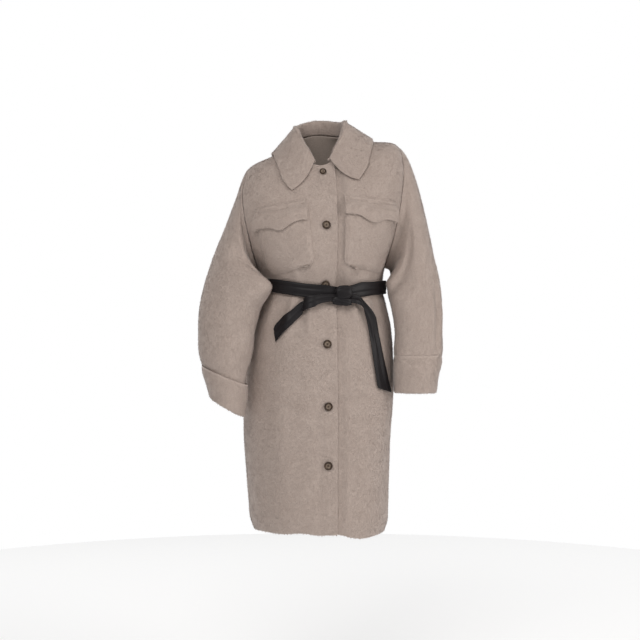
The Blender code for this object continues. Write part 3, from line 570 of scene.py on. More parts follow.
row_up, row_side = panel_rows()
gap_side = row_side + np.where(row_side > 1e-6, 0, SEAM / through(TRUNK, "up", "left", row_up))
panel("front_right", -math.pi + gap_side, front_edge_angle(row_up, LAP), 54, 11)
panel("front_left", front_edge_angle(row_up, -LAP), -gap_side, 54, 12,
      under_lap)
panel("back", gap_side, math.pi - gap_side, 92, 13)


# ---- Sleeves ----
# Two wide tubes of the same fur set into the armholes, bent a little at the elbow and loose
# enough to fold there.  Each has one long seam at its back and ends inside its cuff.
SLEEVE_COLUMNS = "row outer_x outer_y outer_z inner_x inner_y inner_z depth"
SLEEVE_LEFT = columns(SLEEVE_COLUMNS, (
    (0,  0.21,  0,      -0.006, 0.172, 0,      -0.32,  0.077),
    (1,  0.25,  -0.004, -0.05,  0.183, -0.002, -0.332, 0.078),
    (2,  0.27,  -0.01,  -0.122, 0.186, -0.006, -0.341, 0.079),
    (3,  0.283, -0.018, -0.205, 0.185, -0.014, -0.352, 0.08),
    (4,  0.293, -0.024, -0.278, 0.182, -0.028, -0.366, 0.082),
    (5,  0.306, -0.03,  -0.35,  0.179, -0.046, -0.388, 0.083),
    (6,  0.308, -0.042, -0.415, 0.185, -0.062, -0.428, 0.081),
    (7,  0.306, -0.058, -0.48,  0.189, -0.076, -0.482, 0.075),
    (8,  0.302, -0.074, -0.54,  0.188, -0.086, -0.538, 0.067),
    (9,  0.289, -0.088, -0.592, 0.185, -0.094, -0.589, 0.059),
    (10, 0.281, -0.097, -0.634, 0.183, -0.1,   -0.633, 0.054),
))
SLEEVE_RIGHT = columns(SLEEVE_COLUMNS, (
    (0,  -0.185, 0,      -0.07,  -0.16,  0,      -0.328, 0.077),
    (1,  -0.206, -0.004, -0.112, -0.17,  -0.003, -0.34,  0.078),
    (2,  -0.229, -0.01,  -0.168, -0.17,  -0.01,  -0.353, 0.079),
    (3,  -0.253, -0.014, -0.228, -0.152, -0.026, -0.364, 0.079),
    (4,  -0.28,  -0.02,  -0.296, -0.136, -0.05,  -0.381, 0.076),
    (5,  -0.302, -0.028, -0.366, -0.139, -0.072, -0.405, 0.073),
    (6,  -0.314, -0.034, -0.426, -0.158, -0.084, -0.437, 0.071),
    (7,  -0.317, -0.042, -0.485, -0.174, -0.086, -0.477, 0.069),
    (8,  -0.312, -0.056, -0.545, -0.184, -0.092, -0.53,  0.065),
    (9,  -0.298, -0.074, -0.602, -0.196, -0.098, -0.606, 0.058),
    (10, -0.286, -0.086, -0.644, -0.205, -0.1,   -0.69,  0.052),
))
SLEEVE_BLEND, SLEEVE_HEAD = 3.6, 0.018   # rows from armhole to ellipse, fullness of the head
SHOULDER_WAY = {1: (0.85, 0.0, -0.52), -1: (-0.62, 0.0, -0.78)}
UNDERARM_WAY = {1: (0.95, 0.0, -0.30), -1: (-0.80, -0.25, -0.45)}
SIDE_AIR, BELT_AIR, PRESS = 0.0035, 0.0115, 0.006
PUFF, TUCK = 0.0035, 0.0040              # fullness above the cuff, and how far the end draws in
SLEEVE_STEPS, SLEEVE_ROUND = 84, 84
SLEEVE_LENGTH, LAST_ROW = 0.60, 10       # rows go from 0 at the armhole to the sleeve's end
PILE_END = 0.90                          # share of the sleeve with pile; the cuff hides the rest

# Creases of each sleeve, as the folds above: turn in degrees (0 outer, 90 front, 180 at the
# body), middle and reach in rows, width in degrees, depth, and lean.
CREASES_LEFT = columns(FOLD_COLUMNS, (
    (84,  2.4, 1.3, 13,  0.0045,  13),
    (104, 3.2, 1,   10,  -0.0065, 18),
    (138, 4.7, 0.8, 13,  -0.007,  24),
    (98,  5,   1,   15,  0.0055,  20),
    (63,  6.5, 1.7, 6.5, -0.0055, 3.4),
    (46,  6.6, 1.5, 9,   0.003,   3),
    (-60, 5.2, 1,   16,  0.005,   -14),
    (-90, 4.4, 1.1, 15,  -0.005,  -11),
    (-70, 2.4, 1.4, 18,  0.0045,  11.2),
))
CREASES_RIGHT = columns(FOLD_COLUMNS, (
    (92,  3.1, 0.26, 34, -0.0065, 0),
    (78,  3.9, 0.5,  40, 0.005,   0),
    (112, 2.7, 1,    15, -0.004,  14),
    (95,  6.6, 0.5,  30, -0.003,  0),
    (-80, 4.5, 0.4,  40, -0.005,  0),
    (-95, 5.4, 0.5,  36, 0.0045,  0),
    (-60, 2.6, 1.3,  18, 0.0045,  10.4),
))

# Where the loose cloth falls forward or in: turn and its width, row and its reach, and the way.
DRAPE_RIGHT = ((132, 34, 4.0, 1.1, (0.025, -0.023, 0.004)), (160, 40, 5.6, 0.8, (-0.010, 0.0, 0.0)),
               (140, 30, 3.0, 0.8, (0.008, -0.010, 0.0)))
DRAPE_LEFT = ((140, 40, 5.5, 1.2, (-0.026, -0.006, 0.0)), (142, 40, 7.6, 1.6, (-0.021, -0.003, 0.0)),
              (150, 45, 9.6, 1.2, (-0.007, 0.0, 0.0)), (145, 36, 3.7, 1.1, (-0.030, -0.014, -0.004)))


def beside_trunk(spot):
    """Points of a sleeve moved out where they would press into the side of the body."""
    x, y, z = spot[..., 0], spot[..., 1], spot[..., 2]
    angle = np.arctan2(y, x)
    up = np.interp(z, TRUNK["side"], TRUNK["up"])
    for _ in range(5):
        here = trunk(up, angle)
        up = np.clip(up + z - here[..., 2], 0, UNDERARM + 0.02)
    air = SIDE_AIR + (BELT_AIR - SIDE_AIR) * np.exp(-((up - BELT) / 0.024)**4)
    gap = np.hypot(x, y) - np.hypot(here[..., 0], here[..., 1]) - air
    below = ease((here[..., 2] - z + 0.004) / 0.004) * ease((UNDERARM - 0.003 - up) / 0.02)
    push = 0.5 * (np.sqrt(gap**2 + PRESS**2) - gap) * below
    return spot + np.stack([np.cos(angle), np.sin(angle), 0 * z], -1) * push[..., None]


def sleeve_surface(table, mirror, drape):
    """Where a sleeve's pile ends, as a function of row and turn: the armhole's loop passes into
    ellipses between an outer and an inner line.  The mirror is -1 on the right."""
    def rim(turn):
        """Length up and angle round the body at a turn of the armhole."""
        up, off = armhole(np.abs(turn))
        off = np.where(turn > 0, -off, off)
        return up, off if mirror > 0 else math.pi - off

    def loop(turn):
        """The armhole's edge, and the way the cloth leaves it."""
        up, angle = rim(turn)
        edge = trunk(up, angle)
        front = np.where(turn > 0, -1.0, 1.0)
        along = unit(trunk(*rim(turn + front * 1e-3)) - edge)
        leave = np.cross(normals(trunk, up, angle), along) * (front * mirror)[..., None]
        leave = unit(leave + np.array([mirror, 0.0, -0.5]))
        low = ease((np.abs(turn) / math.pi - 0.45) / 0.5)[..., None]
        high = 0.8 * ease(1 - np.abs(turn) / (0.45 * math.pi))[..., None]
        return edge, unit(leave * (1 - low - high) + np.array(UNDERARM_WAY[mirror]) * low
                          + np.array(SHOULDER_WAY[mirror]) * high)

    def surface(row, turn):
        """Points of the outside at rows and turns."""
        row, turn = np.broadcast_arrays(np.asarray(row, float), np.asarray(turn, float))
        get = {name: through(table, "row", name, row) for name in table if name != "row"}
        outer = np.stack([get["outer_x"], get["outer_y"], get["outer_z"]], -1)
        inner = np.stack([get["inner_x"], get["inner_y"], get["inner_z"]], -1)
        axis = (outer - inner) / 2
        flat = unit(axis * [1, 1, 0])
        sideways = np.stack([flat[..., 1], -flat[..., 0], 0 * row], -1) * mirror
        section = ((outer + inner) / 2 + axis * np.cos(turn)[..., None]
                   + sideways * (get["depth"] * np.sin(turn))[..., None])
        wrapped = (turn + math.pi) % (2 * math.pi) - math.pi
        edge, leave = loop(np.where(wrapped == 0, 1e-6, wrapped))
        start = edge + leave * (SEAM + 0.0001 + SLEEVE_HEAD * (1 - np.exp(-row)))[..., None]
        share = ease(row / SLEEVE_BLEND)[..., None]
        spot = beside_trunk(start * (1 - share) + section * share)
        for at, width, middle, reach, way in drape:
            fall = near(turn, at, width, row, middle, reach) * ease(row / 1.5)
            spot = spot + np.array(way) * fall[..., None]
        return spot

    return surface


def sleeve_turns(mirror, count):
    """Turns round a sleeve, in the order that keeps the outside of its grid outwards."""
    return mirror * circle(count)


def sleeve(name, table, mirror, folded, drape, seed):
    """A sleeve's cloth with its creases, and the pile above its cuff."""
    surface = sleeve_surface(table, mirror, drape)
    row = LAST_ROW * soft_shares(SLEEVE_LENGTH, EDGE, SLEEVE_STEPS)
    row, turn = np.meshgrid(row, sleeve_turns(mirror, SLEEVE_ROUND), indexing="ij")
    face = surface(row, turn)
    free = ease(row / 1.2) * ease((9.2 - row) / 1.2)
    relief = (ridges(folded, row, turn) - 0.001) * free
    relief = relief + PUFF * np.exp(-((row - 7.9) / 0.55)**2) - TUCK * ease((row - 8.3) / 0.5)
    relief = relief + WAVER * swirl(face, WAVER_SIZE)
    face = face + grid_normals(face, True) * relief[..., None]
    full = rounding(np.minimum(row, LAST_ROW - row) * SLEEVE_LENGTH / LAST_ROW, EDGE)
    piece, outer = cloth_wall(name + "_cloth", face, full, FUR_CLOTH, ring=True)
    worn(piece, "fur", name)
    fur = pile(name + "_pile", outer[:int(PILE_END * len(outer))], seed, ring=True)


sleeve("sleeve_right", SLEEVE_RIGHT, -1, CREASES_RIGHT, DRAPE_RIGHT, 21)
sleeve("sleeve_left", SLEEVE_LEFT, 1, CREASES_LEFT, DRAPE_LEFT, 22)


# ---- Cuffs ----
# Deep cuffs of the same fur, turned back over the end of each sleeve.  The fold passes under
# the sleeve's end and is caught to it inside.
CUFF_LEFT, CUFF_RIGHT = 0.083, 0.074     # heights
CUFF_AIR, CUFF_WAVE = 0.0012, 0.0006     # air between cuff and sleeve, unevenness round the cuff
CUFF_THIN, CUFF_BEVEL = 0.0020, 0.014    # how much the top edge thins, and over what height
CUFF_ROUND, CUFF_SLOPE_STEP = 78, 0.12   # columns; rows and turns over which slopes are taken


def ring_body(name, loops, materials):
    """Ring with a closed section: rows go round the section, columns round the ring."""
    grid = numbered(loops)
    return mesh_object(name, loops, quads(closed(np.concatenate([grid, grid[:1]]))), materials)


def cuff(name, table, mirror, drape, height, seed):
    """A cuff's section, seen on its outer side, goes down the outside, round the fold under the
    sleeve's end, and back up between cuff and sleeve."""
    surface = sleeve_surface(table, mirror, drape)
    turn = sleeve_turns(mirror, CUFF_ROUND)
    out, fold = CUFF_AIR + FUR - PILE - 0.0015, CUFF_AIR + FUR - 0.0012
    down = [(out - CUFF_THIN * ease((rise - height + 0.002) / CUFF_BEVEL + 1), rise)
            for rise in np.concatenate([np.linspace(height - 0.0035, height - 0.016, 4),
                                        np.linspace(height - 0.022, 0.0, 10)])]
    under = [(0.93 * out, -0.35 * fold), (0.68 * out, -0.72 * fold), (0.2 * out, -0.96 * fold),
             (-0.35 * FUR, -0.95 * fold), (-0.8 * FUR, -0.62 * fold), (-0.93 * FUR, -0.3 * fold)]
    back = [(-0.8 * FUR, -CUFF_AIR), (0.0, -CUFF_AIR), (0.8 * CUFF_AIR, -0.7 * CUFF_AIR)]
    inside = [(CUFF_AIR, 0.0)] + [(-0.0004, rise) for rise in np.linspace(0.2, 0.94, 6) * height]
    top = [(0.0000, height - 0.001), (0.0007, height - 0.0004), (out - 0.0026, height - 0.0016)]
    section = down + under + back + inside + top
    last = surface(LAST_ROW, turn) - surface(LAST_ROW - 1, turn)
    length, way = np.linalg.norm(last, axis=-1), unit(last)
    loops = []
    for offset, rise in section:
        row = LAST_ROW - max(rise, 0) / length
        normal = normals(surface, row, turn, CUFF_SLOPE_STEP) * mirror
        wave = CUFF_WAVE * np.sin(3 * turn + 9 * rise / height) * (offset > CUFF_AIR)
        loops.append(surface(row, turn) + normal * (offset + wave)[..., None] + way * max(-rise, 0))
    loops = np.stack(loops)
    piece = ring_body(name + "_cloth", loops, [nap])
    worn(piece, "fur", name)
    fur = pile(name + "_pile", loops[:len(down) + 5], seed, ring=True)


cuff("cuff_right", SLEEVE_RIGHT, -1, DRAPE_RIGHT, CUFF_RIGHT, 31)
cuff("cuff_left", SLEEVE_LEFT, 1, DRAPE_LEFT, CUFF_LEFT, 32)


# ---- Collar ----
# One folded strip of fur: it stands up from the neckline, turns over and lies on the shoulders,
# open at the front in a V with two blunt points.
COLLAR = columns(
    "along stand up swing", (
    (0,    0.04,  1.038, 0),
    (0.3,  0.04,  1.038, 0),
    (0.55, 0.038, 1.035, 3),
    (0.75, 0.036, 1.028, 11),
    (0.88, 0.033, 1.018, 20),
    (0.95, 0.028, 1.006, 24.5),
    (1,    0.014, 1.003, 23),
))
COLLAR_END = math.radians(12)            # from the centre front to where each half begins
COLLAR_AIR, COLLAR_FOLD, COLLAR_LEAN = 0.0009, 0.0075, 0.004
COLLAR_STEPS, COLLAR_ROWS = 150, 34
NECKLINE, LEAF = 0.50, 0.11              # lengths round the collar and from neckline to leaf edge


def finer(points, at):
    """Smooth curve through rows of points, read at row numbers: cubic pieces as in a table."""
    i = np.clip(at.astype(int), 0, len(points) - 2)
    return cubic(points, np.gradient(points, axis=0), i, (at - i)[:, None, None])


def collar():
    """Rows go from the neckline over the fold to the leaf's edge, columns round the neck."""
    share = soft_shares(NECKLINE, EDGE, COLLAR_STEPS)
    along = np.sin((2 * share - 1) * 1.2) / math.sin(1.2)
    half = np.abs(along)
    stand, edge_up = (through(COLLAR, "along", name, half) for name in ("stand", "up"))
    swing = np.radians(through(COLLAR, "along", "swing", half)) * np.sign(along)
    neck_angle = BACK_ANGLE - along * (math.pi - COLLAR_END)
    neck = trunk(np.full_like(along, NECK), neck_angle)
    out = np.stack([np.cos(neck_angle), np.sin(neck_angle), 0 * along], -1)
    top = np.array([0.0, 0.0, 1.0])
    lean, fold = COLLAR_LEAN + FUR, COLLAR_FOLD
    path = [(-FUR, COLLAR_AIR), (-lean, (stand - fold) * 0.5), (-lean - 0.001, stand - fold),
            (-lean + fold * 0.3, stand - fold * 0.2), (-lean + fold, stand),
            (-lean + fold * 1.7, stand - fold * 0.2), (-lean + fold * 2, stand - fold)]
    rows = [neck + out * r + top * np.reshape(h * np.ones_like(along), (-1, 1)) for r, h in path]
    start = rows[-1] - neck
    for reached in (0.2, 0.4, 0.6, 0.8, 1.0):
        up, angle = NECK + (edge_up - NECK) * reached, neck_angle + swing * reached
        rows.append(trunk(up, angle) + start * (1 - reached)
                    + normals(trunk, up, angle) * (FUR + 2 * COLLAR_AIR) * reached)
    at = soft_shares(LEAF, EDGE, COLLAR_ROWS) * (len(rows) - 1)
    face = finer(np.stack(rows), at)
    ends = np.minimum(share, 1 - share) * NECKLINE
    edges = np.minimum(at, len(rows) - 1 - at) * LEAF / (len(rows) - 1)
    full = rounding(edges, EDGE)[:, None] * rounding(ends, EDGE)
    face = uneven(face, 0.0008, 0.02)
    piece, outer = cloth_wall("collar_cloth", face, full, [nap, nap])
    worn(piece, "fur", "collar")
    pile("collar_pile", outer, 41)


collar()


# ---- Pockets and flaps ----
# A patch pocket on each side of the chest, sewn on round its sides and lower edge, under a
# flap sewn on along its top, whose lower edge dips in the middle like a bracket.
POCKET_WALL, FLAP_WALL = 0.0045, 0.0050
POCKETS = {
    "right": dict(inner=(-0.049, -0.158), outer=(-0.180, -0.180), drop=0.162, drift=0.016,
                  taper=0.040),
    "left": dict(inner=(0.0440, -0.146), outer=(0.1840, -0.160), drop=0.174, drift=-0.002,
                 taper=-0.030),
}
FLAPS = {
    "right": dict(inner=(-0.053, -0.149), outer=(-0.179, -0.174), drop=0.056),
    "left": dict(inner=(0.0435, -0.138), outer=(0.1820, -0.1515), drop=0.051),
}
POCKET_CORNER, FLAP_DIP = 0.020, 0.014
POCKET_LIFT, POCKET_SINK, POCKET_SINK_WIDTH = 0.0010, 0.0030, 0.005
FLAP_LIFT, FLAP_RISE = 0.0006, 0.0112


def on_front(x, z):
    """Length up and angle of the spots on the front seen at x and z (Newton steps)."""
    up = np.interp(z, TRUNK["front"], TRUNK["up"])
    angle = FRONT_ANGLE + np.arcsin(np.clip(x / 0.2, -0.9, 0.9))
    step = 1e-4
    for _ in range(14):
        here = trunk(up, angle)
        by_up = (trunk(up + step, angle) - here) / step
        by_angle = (trunk(up, angle + step) - here) / step
        dx, dz = x - here[..., 0], z - here[..., 2]
        area = by_up[..., 0] * by_angle[..., 2] - by_angle[..., 0] * by_up[..., 2]
        up = up + np.clip((dx * by_angle[..., 2] - dz * by_angle[..., 0]) / area, -0.05, 0.05)
        angle = angle + np.clip((dz * by_up[..., 0] - dx * by_up[..., 2]) / area, -0.2, 0.2)
    return up, angle


def above_front(x, z, lift):
    """Points over the front face at x and z, moved out by lift."""
    up, angle = on_front(x, z)
    return trunk(up, angle) + normals(trunk, up, angle) * np.asarray(lift)[..., None]


def patch(name, shape, lift, thick, size, steps, seed, sink=0.0):
    """A piece laid on a front, its lower edge first so that its grid faces outwards.  Its sides
    and lower edge sink into the fur where they are sewn down."""
    across, down = soft_shares(size[0], EDGE, steps[0]), soft_shares(size[1], EDGE, steps[1])
    across, down = np.meshgrid(across, down[::-1])
    x, z = shape(across, down)
    if x[0, -1] < x[0, 0]:
        across, down, x, z = across[:, ::-1], down[:, ::-1], x[:, ::-1], z[:, ::-1]
    sides = np.minimum(across, 1 - across) * size[0]
    full = rounding(sides, EDGE) * rounding(np.minimum(down, 1 - down) * size[1], EDGE)
    sewn = np.minimum(sides, (1 - down) * size[1])
    face = above_front(x, z, lift(down) + thick - sink * np.exp(-(sewn / POCKET_SINK_WIDTH)**2))
    face = uneven(face, 0.0005, 0.02)
    piece, outer = cloth_wall(name + "_cloth", face, full, [nap, backing], thick=thick - PILE)
    worn(piece, "fur", name)
    pile(name + "_pile", outer, seed)


def slanting(row, across):
    """Height of a pocket's or a flap's top edge, a straight line from inner to outer corner."""
    return row["inner"][1] + (row["outer"][1] - row["inner"][1]) * across


def pocket(side, row, seed):
    """A patch whose lower corners are quarter circles and whose sides draw in or out."""
    inner_x, outer_x = row["inner"][0], row["outer"][0]
    width = abs(outer_x - inner_x)

    def shape(across, down):
        """Where the patch's shares across and down are seen from the front."""
        above_end = np.maximum(POCKET_CORNER - (1 - down) * row["drop"], 0)
        pull = POCKET_CORNER - np.sqrt(np.maximum(POCKET_CORNER**2 - above_end**2, 0))
        share = 0.5 + (across - 0.5) * (1 - 2 * pull / width)
        inside, outside = inner_x + row["drift"] * down**1.5, outer_x + row["taper"] * down**1.5
        return inside + (outside - inside) * share, slanting(row, across) - row["drop"] * down

    patch("pocket_" + side, shape, lambda down: POCKET_LIFT + 0 * down, POCKET_WALL,
          (width, row["drop"]), (22, 26), seed, POCKET_SINK)


def flap(side, row, seed):
    """A patch with a bracket for its lower edge, which rises off the front below its seam."""
    inner_x, outer_x = row["inner"][0], row["outer"][0]

    def shape(across, down):
        """Where the patch's shares across and down are seen from the front."""
        bracket = np.exp(-((across - 0.5) / 0.17)**2)
        corner = np.exp(-((np.abs(2 * across - 1) - 1) / 0.16)**2)
        drop = row["drop"] + FLAP_DIP * bracket + 0.15 * FLAP_DIP * corner
        return inner_x + (outer_x - inner_x) * across, slanting(row, across) - drop * down

    patch("flap_" + side, shape, lambda down: FLAP_LIFT - FLAP_WALL + FLAP_RISE * ease(down / 0.6),
          FLAP_WALL, (abs(outer_x - inner_x), row["drop"] + 0.006), (26, 11), seed)


for number, side in enumerate(("right", "left")):
    pocket(side, POCKETS[side], 51 + number)
    flap(side, FLAPS[side], 53 + number)


# ---- Buttons ----
# Six turned buttons of brown horn down the right front, each with a raised rim round a paler dished middle
# with four holes, painted as near-black discs of shade, and sewn on with a crossed thread.
BUTTON, TOP_BUTTON = 0.0215, 0.0175      # diameters
BUTTONS = columns(
    "z size seat", (
    (-0.0815, TOP_BUTTON, 0.0005),
    (-0.219, BUTTON, 0.0003),
    (-0.366, BUTTON, 0.0012),
    (-0.515, BUTTON, 0.00025),
    (-0.67, BUTTON, 0.00005),
    (-0.817, BUTTON, 0),
))
BUTTON_PROFILE = np.array((              # share of the radius, height in metres
    (0.00, 0.0019), (0.10, 0.0019), (0.22, 0.00195), (0.34, 0.0020), (0.46, 0.0021), (0.55, 0.0024),
    (0.62, 0.0029), (0.70, 0.0034), (0.79, 0.0036), (0.87, 0.0035), (0.94, 0.0031), (0.985, 0.0025),
    (1.00, 0.0018), (0.985, 0.0010), (0.94, 0.0005), (0.82, 0.0002), (0.50, 0.0), (0.00, 0.0)))

HOLE_DISC = np.array([(0.0, 0.0001), (0.9, 0.0001), (1.0, 0.0), (0.9, -0.0001), (0.0, -0.0001)])
HOLE_RADIUS, HOLE_OUT, HOLE_HEIGHT = 0.00085, 0.085, 0.00196    # out: a share of the button's size
THREAD_RADIUS, THREAD_REACH, THREAD_HEIGHT, THREAD_BOW = 0.0004, 0.062, 0.00205, 0.0005

horn, horn_tree, horn_cover = shader("horn", 0.34)
horn_grain = noise(horn_tree, 240.0, 4.0, (1, 0.4, 0.35))
coloured(horn_tree, horn_cover, ramp(horn_tree, horn_grain, (0.32, (0.028, 0.017, 0.012)),
                                     (0.55, (0.060, 0.038, 0.025)), (0.72, (0.105, 0.070, 0.045))))
pale_horn, pale_tree, pale_cover = shader("pale_horn", 0.4)
pale_grain = noise(pale_tree, 300.0, 4.0, (1, 0.5, 0.4))
coloured(pale_tree, pale_cover, ramp(pale_tree, pale_grain, (0.3, (0.13, 0.095, 0.070)),
                                     (0.7, (0.27, 0.205, 0.155))))
thread_brown, _, thread_cover = shader("thread_brown", 0.8, 0.2)
thread_cover.inputs["Base Color"].default_value = (0.05, 0.032, 0.025, 1)
# The holes are not cut through: near-black discs just over the dished middle are painted shade where each
# hole is.
hole_painted_shade, _, hole_shade_cover = shader("hole_painted_shade", 0.9)
hole_shade_cover.inputs["Base Color"].default_value = (0.006, 0.004, 0.003, 1)


def capped(rings):
    """Triangles over a grid of rings, closed at its ends by two poles numbered after it."""
    grid = closed(numbered(rings))
    sides, across = quads(grid), grid.shape[1] - 1
    low, high = np.full(across, rings[..., 0].size), np.full(across, rings[..., 0].size + 1)
    return np.concatenate([sides[:, [0, 1, 2]], sides[:, [0, 2, 3]],
                           np.stack([grid[0, 1:], grid[0, :-1], low], -1),
                           np.stack([grid[-1, :-1], grid[-1, 1:], high], -1)])


def turned(profile, radius, pale_rings=0, steps=40):
    """A turned body, its profile carried round; its first rings take the paler material."""
    turn = circle(steps)
    rings = profile[1:-1]
    points = np.stack([np.outer(rings[:, 0], np.cos(turn)) * radius,
                       np.outer(rings[:, 0], np.sin(turn)) * radius,
                       np.repeat(rings[:, 1:], steps, axis=1)], -1)
    kinds = np.tile(np.repeat(np.arange(len(rings) - 1) >= pale_rings, steps), 2).astype(int)
    kinds = np.concatenate([kinds, np.zeros(steps, int), np.ones(steps, int)])
    poles = [(0, 0, profile[0, 1]), (0, 0, profile[-1, 1])]
    return np.concatenate([points.reshape(-1, 3), poles]), capped(points)[:, ::-1], kinds


def placed(points, spot, way):
    """Points turned so that +Z follows a way, and moved to a spot."""
    turn = np.array(Vector(way).to_track_quat("Z", "Y").to_matrix())
    return points @ turn.T + spot


def joined(name, parts, material):
    """Several little bodies as one mesh."""
    starts = np.cumsum([0] + [len(points) for points, _ in parts[:-1]])
    return mesh_object(name, np.concatenate([points for points, _ in parts]),
                       np.concatenate([faces + start for (_, faces), start in zip(parts, starts)]),
                       [material])


def thread(size, side):
    """One stitch of the cross: a thin tube that bows up between two holes."""
    run = np.linspace(-1, 1, 9)
    centre = np.stack([run * size * THREAD_REACH, side * run * size * THREAD_REACH,
                       THREAD_HEIGHT + THREAD_BOW * (1 - run**2)], -1)
    ring = circle(6)[:, None]
    aside = np.array([side, -1.0, 0]) / math.sqrt(2)
    tube = centre[:, None] + THREAD_RADIUS * (np.cos(ring) * aside
                                              + np.sin(ring) * np.array([0, 0, 1.0]))
    return tube.reshape(-1, 3), quads(closed(numbered(tube)))[:, [0, 3, 2, 1]]


holes, threads = [], []
for number, (z, size, seat) in enumerate(zip(*BUTTONS.values()), 1):
    up, angle = on_front(np.array([0.0]), np.array([z]))
    spot = above_front(through(TRUNK, "up", "middle", up), np.array([z]), [seat])[0]
    way = normals(trunk, up, angle)[0]
    points, faces, kinds = turned(BUTTON_PROFILE, size / 2, 4)
    piece = mesh_object("button_%d_horn" % number, placed(points, spot, way), faces,
                        [pale_horn, horn], kinds)
    worn(piece, "horn", "button_%d" % number)
    # Each hole is a thin near-black disc of painted shade.
    for corner in np.radians([45, 135, 225, 315]):
        hole, faces, _ = turned(HOLE_DISC, HOLE_RADIUS, steps=12)
        at = (math.cos(corner) * size * HOLE_OUT, math.sin(corner) * size * HOLE_OUT, HOLE_HEIGHT)
        holes.append((placed(hole + at, spot, way), faces))
    for side in (-1, 1):
        stitch, faces = thread(size, side)
        threads.append((placed(stitch, spot, way), faces))
worn(joined("button_holes", holes, hole_painted_shade), "horn")
worn(joined("button_threads", threads, thread_brown), "horn")


# ---- Belt ----
# A narrow tie belt of soft black satin, folded lengthwise into a band, knotted a little left
# of the middle; its two ends fall apart over the skirt, each cut slanting.
BELT_WIDTH, BELT_THICK, BELT_LIFT = 0.031, 0.0030, 0.0082
KNOT = (0.0420, -0.386)
TAIL_RIGHT = columns(
    "x z half", (
    (0.033,  -0.403, 0.0085),
    (-0.01,  -0.405, 0.011),
    (-0.053, -0.419, 0.013),
    (-0.086, -0.446, 0.0135),
    (-0.113, -0.473, 0.013),
    (-0.128, -0.494, 0.011),
))
TAIL_LEFT = columns(
    "x z half", (
    (0.05,  -0.401, 0.0085),
    (0.082, -0.415, 0.01),
    (0.107, -0.448, 0.0115),
    (0.12,  -0.497, 0.0125),
    (0.13,  -0.551, 0.0145),
    (0.142, -0.612, 0.017),
    (0.148, -0.633, 0.0175),
))
TAIL_LIFTS, TAIL_POINT, TAIL_THICK, TAIL_EDGE = (0.0020, 0.0009), 0.024, 0.0021, 0.0012
TAIL_LENGTH, TAIL_WIDTH = 0.18, 0.026    # about, for the rounding of their edges

satin, satin_tree, satin_cover = shader("black_satin", 0.45, 0.10, 0.3)
coloured(satin_tree, satin_cover, ramp(satin_tree, noise(satin_tree, 40.0),
                                       (0.3, (0.0085, 0.0068, 0.0080)), (0.7, (0.0125, 0.0100, 0.0110))))
raised(satin_tree, satin_cover, noise(satin_tree, 900.0, 2.0, (1, 1, 3)), 0.0001)


def belt_ring(angle, rise, lift):
    """Points of the band: the waist's ring moved out, rise above its middle."""
    out = np.stack([np.cos(angle), np.sin(angle), 0 * angle], -1)
    return trunk(np.full_like(angle, BELT), angle) + out * lift + np.array([0.0, 0.0, 1.0]) * rise


def band():
    """The section is a flat loop whose outer side has lengthwise folds that wander."""
    angle = circle(260)
    from_knot = (np.degrees(angle) - 287 + 180) % 360 - 180
    tall = BELT_WIDTH / 2 * (1.10 - 0.32 * np.exp(-(from_knot / 13)**2)
                             + 0.12 * np.exp(-((from_knot - 24) / 7)**2))
    wander = (0.0008 * np.sin(3 * angle + 1.0) + 0.0006 * np.sin(7 * angle)
              + 0.0012 * np.exp(-((from_knot - 24) / 7)**2))
    rows = []
    for share in np.linspace(1, -1, 17):
        bow = 1 - 0.22 * share**6
        ridge = (0.9 * np.cos(7.0 * share + 1.3 * np.sin(2 * angle + 0.6) + 0.4)
                 + 0.45 * np.cos(12.5 * share - 1.6 * np.sin(3 * angle + 2.0)))
        lift = BELT_LIFT + BELT_THICK * bow - 0.0009 + 0.0006 * ridge * (1 - share**6)
        rows.append(belt_ring(angle, (share * tall + wander)[:, None], lift[:, None]))
    for share in (-0.96, -0.5, 0.5, 0.96):
        rows.append(belt_ring(angle, (share * tall + wander)[:, None], BELT_LIFT + 0.0002))
    piece = ring_body("belt_band_satin", np.stack(rows), [satin])
    worn(piece, "belt", "belt_band")
    return piece


def lump(node, size, place, roll, ways, depth):
    """Wound cloth: a rounded box, |x|^n + |y|^n + |z|^n = 1 scaled to its size, with creases
    that run across it and fan a little."""
    lat = np.linspace(-math.pi / 2, math.pi / 2, 38)[1:-1]
    lat, lon = np.meshgrid(lat, circle(72), indexing="ij")

    def shaped(lat, lon):
        """Points of the lump at latitudes and longitudes."""
        ray = np.stack([np.sin(lat), -np.cos(lat) * np.sin(lon), np.cos(lat) * np.cos(lon)], -1)
        ray = ray / (np.abs(ray)**3.4).sum(-1, keepdims=True)**(1 / 3.4)
        crease = sum(np.cos(pace * (ray[..., 2] + slant * ray[..., 0]) + start) * share
                     for pace, slant, start, share in ways)
        return ray * (np.array(size) / 2 - 0.0006) * (1 + depth * crease)[..., None]

    rings = shaped(lat, lon)
    poles = shaped(np.array([-math.pi / 2, math.pi / 2]), np.zeros(2))
    turn = np.array([[math.cos(roll), 0, -math.sin(roll)], [0, 1, 0], [math.sin(roll), 0, math.cos(roll)]])
    points = np.concatenate([rings.reshape(-1, 3), poles]) @ turn.T + place
    piece = mesh_object(node + "_satin", points, capped(rings), [satin])
    worn(piece, "belt", node)
    return piece


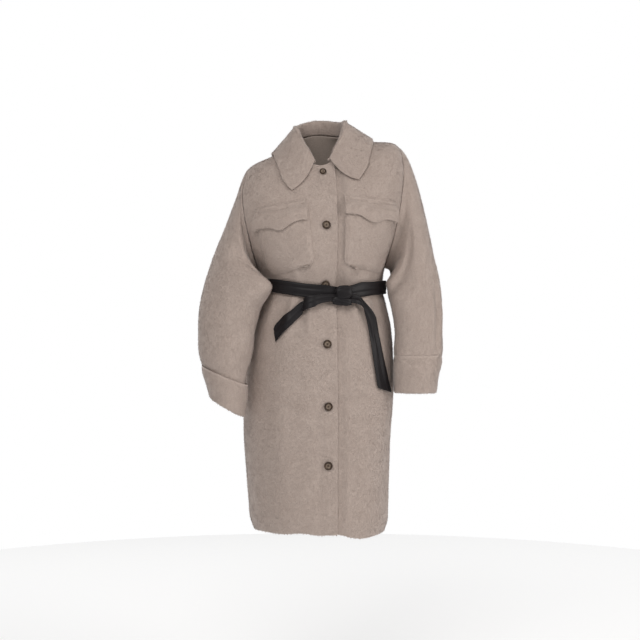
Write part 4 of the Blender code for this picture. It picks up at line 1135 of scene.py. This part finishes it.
def tail(node, table, rest, seed):
    """A free end: a strip on the skirt with a lengthwise fold down it and turned-in edges."""
    count = len(table["x"])
    table = dict(table, row=np.arange(count, dtype=float))
    row = soft_shares(TAIL_LENGTH, TAIL_EDGE, 60) * (count - 1)
    x, z, half = (through(table, "row", key, row) for key in ("x", "z", "half"))
    way = unit(np.stack([np.gradient(x, row), np.gradient(z, row)], -1))
    across = (2 * soft_shares(TAIL_WIDTH, TAIL_EDGE, 16) - 1)[:, None]
    shift = across * TAIL_POINT * ease(row - (count - 2)) * 0.5
    px = x + (-way[:, 1] * half) * across + way[:, 0] * shift
    pz = z + (way[:, 0] * half) * across + way[:, 1] * shift
    over_band = BELT_LIFT + BELT_THICK + 0.001
    lift = rest + (over_band - rest) * (1 - ease((row - 1.2) / 1.8))[None, :] + 0 * px
    ridge = (np.cos(5.5 * across + 0.9 * np.sin(row * 1.1 + seed) + seed)
             + 0.4 * np.cos(11 * across - 0.8 * row + 2 * seed))
    hem = np.exp(-((np.abs(across) - 0.86) / 0.05)**2)
    relief = 0.0007 * ridge * (1 - np.abs(across)**6) - 0.0003 * hem
    face = above_front(px, pz, lift + BELT_THICK * 0.9 + relief)
    full = (rounding((1 - np.abs(across)) * TAIL_WIDTH / 2, TAIL_EDGE)
            * rounding(np.minimum(row, count - 1 - row) * 0.035, TAIL_EDGE))
    if np.cross(face[1, 1] - face[0, 1], face[0, 2] - face[0, 1]) @ np.array([0, -1.0, 0]) > 0:
        face, full = face[::-1], full[::-1]
    piece, _ = cloth_wall(node + "_satin", face, full, [satin, satin], top=0.0, thick=TAIL_THICK)
    worn(piece, "belt", node)


knot_x, knot_z = KNOT
knot_size, under_size = (0.042, 0.018, 0.034), (0.052, 0.017, 0.022)
near_knot = FRONT_ANGLE + np.linspace(0.21, 0.5, 11)
knot_face = belt_ring(near_knot, 0.0, BELT_LIFT + BELT_THICK)[:, 1].min() - 0.0003
knot = lump("belt_knot", knot_size, (knot_x, knot_face - knot_size[1] / 2 + 0.001, knot_z + 0.001),
            math.radians(4), ((7.0, 0.35, 0.5, 0.6), (12.0, -0.3, 1.9, 0.4)), 0.055)
under_z = knot_z - 0.0225
under_x = knot_x + under_size[0] * np.linspace(-0.5, 0.5, 5)
under_face = above_front(under_x, np.full(5, under_z - under_size[2] / 2), np.zeros(5))[:, 1].min()
under = lump("belt_knot_turn", under_size,
             (knot_x - 0.006, under_face + 0.001 - under_size[1] / 2, under_z), math.radians(-6),
             ((6.0, 0.2, 1.2, 0.6), (10.0, 0.5, 0.2, 0.4)), 0.05)
band()
tail("belt_tail_right", TAIL_RIGHT, TAIL_LIFTS[0], 0.7)
tail("belt_tail_left", TAIL_LEFT, TAIL_LIFTS[1], 2.1)
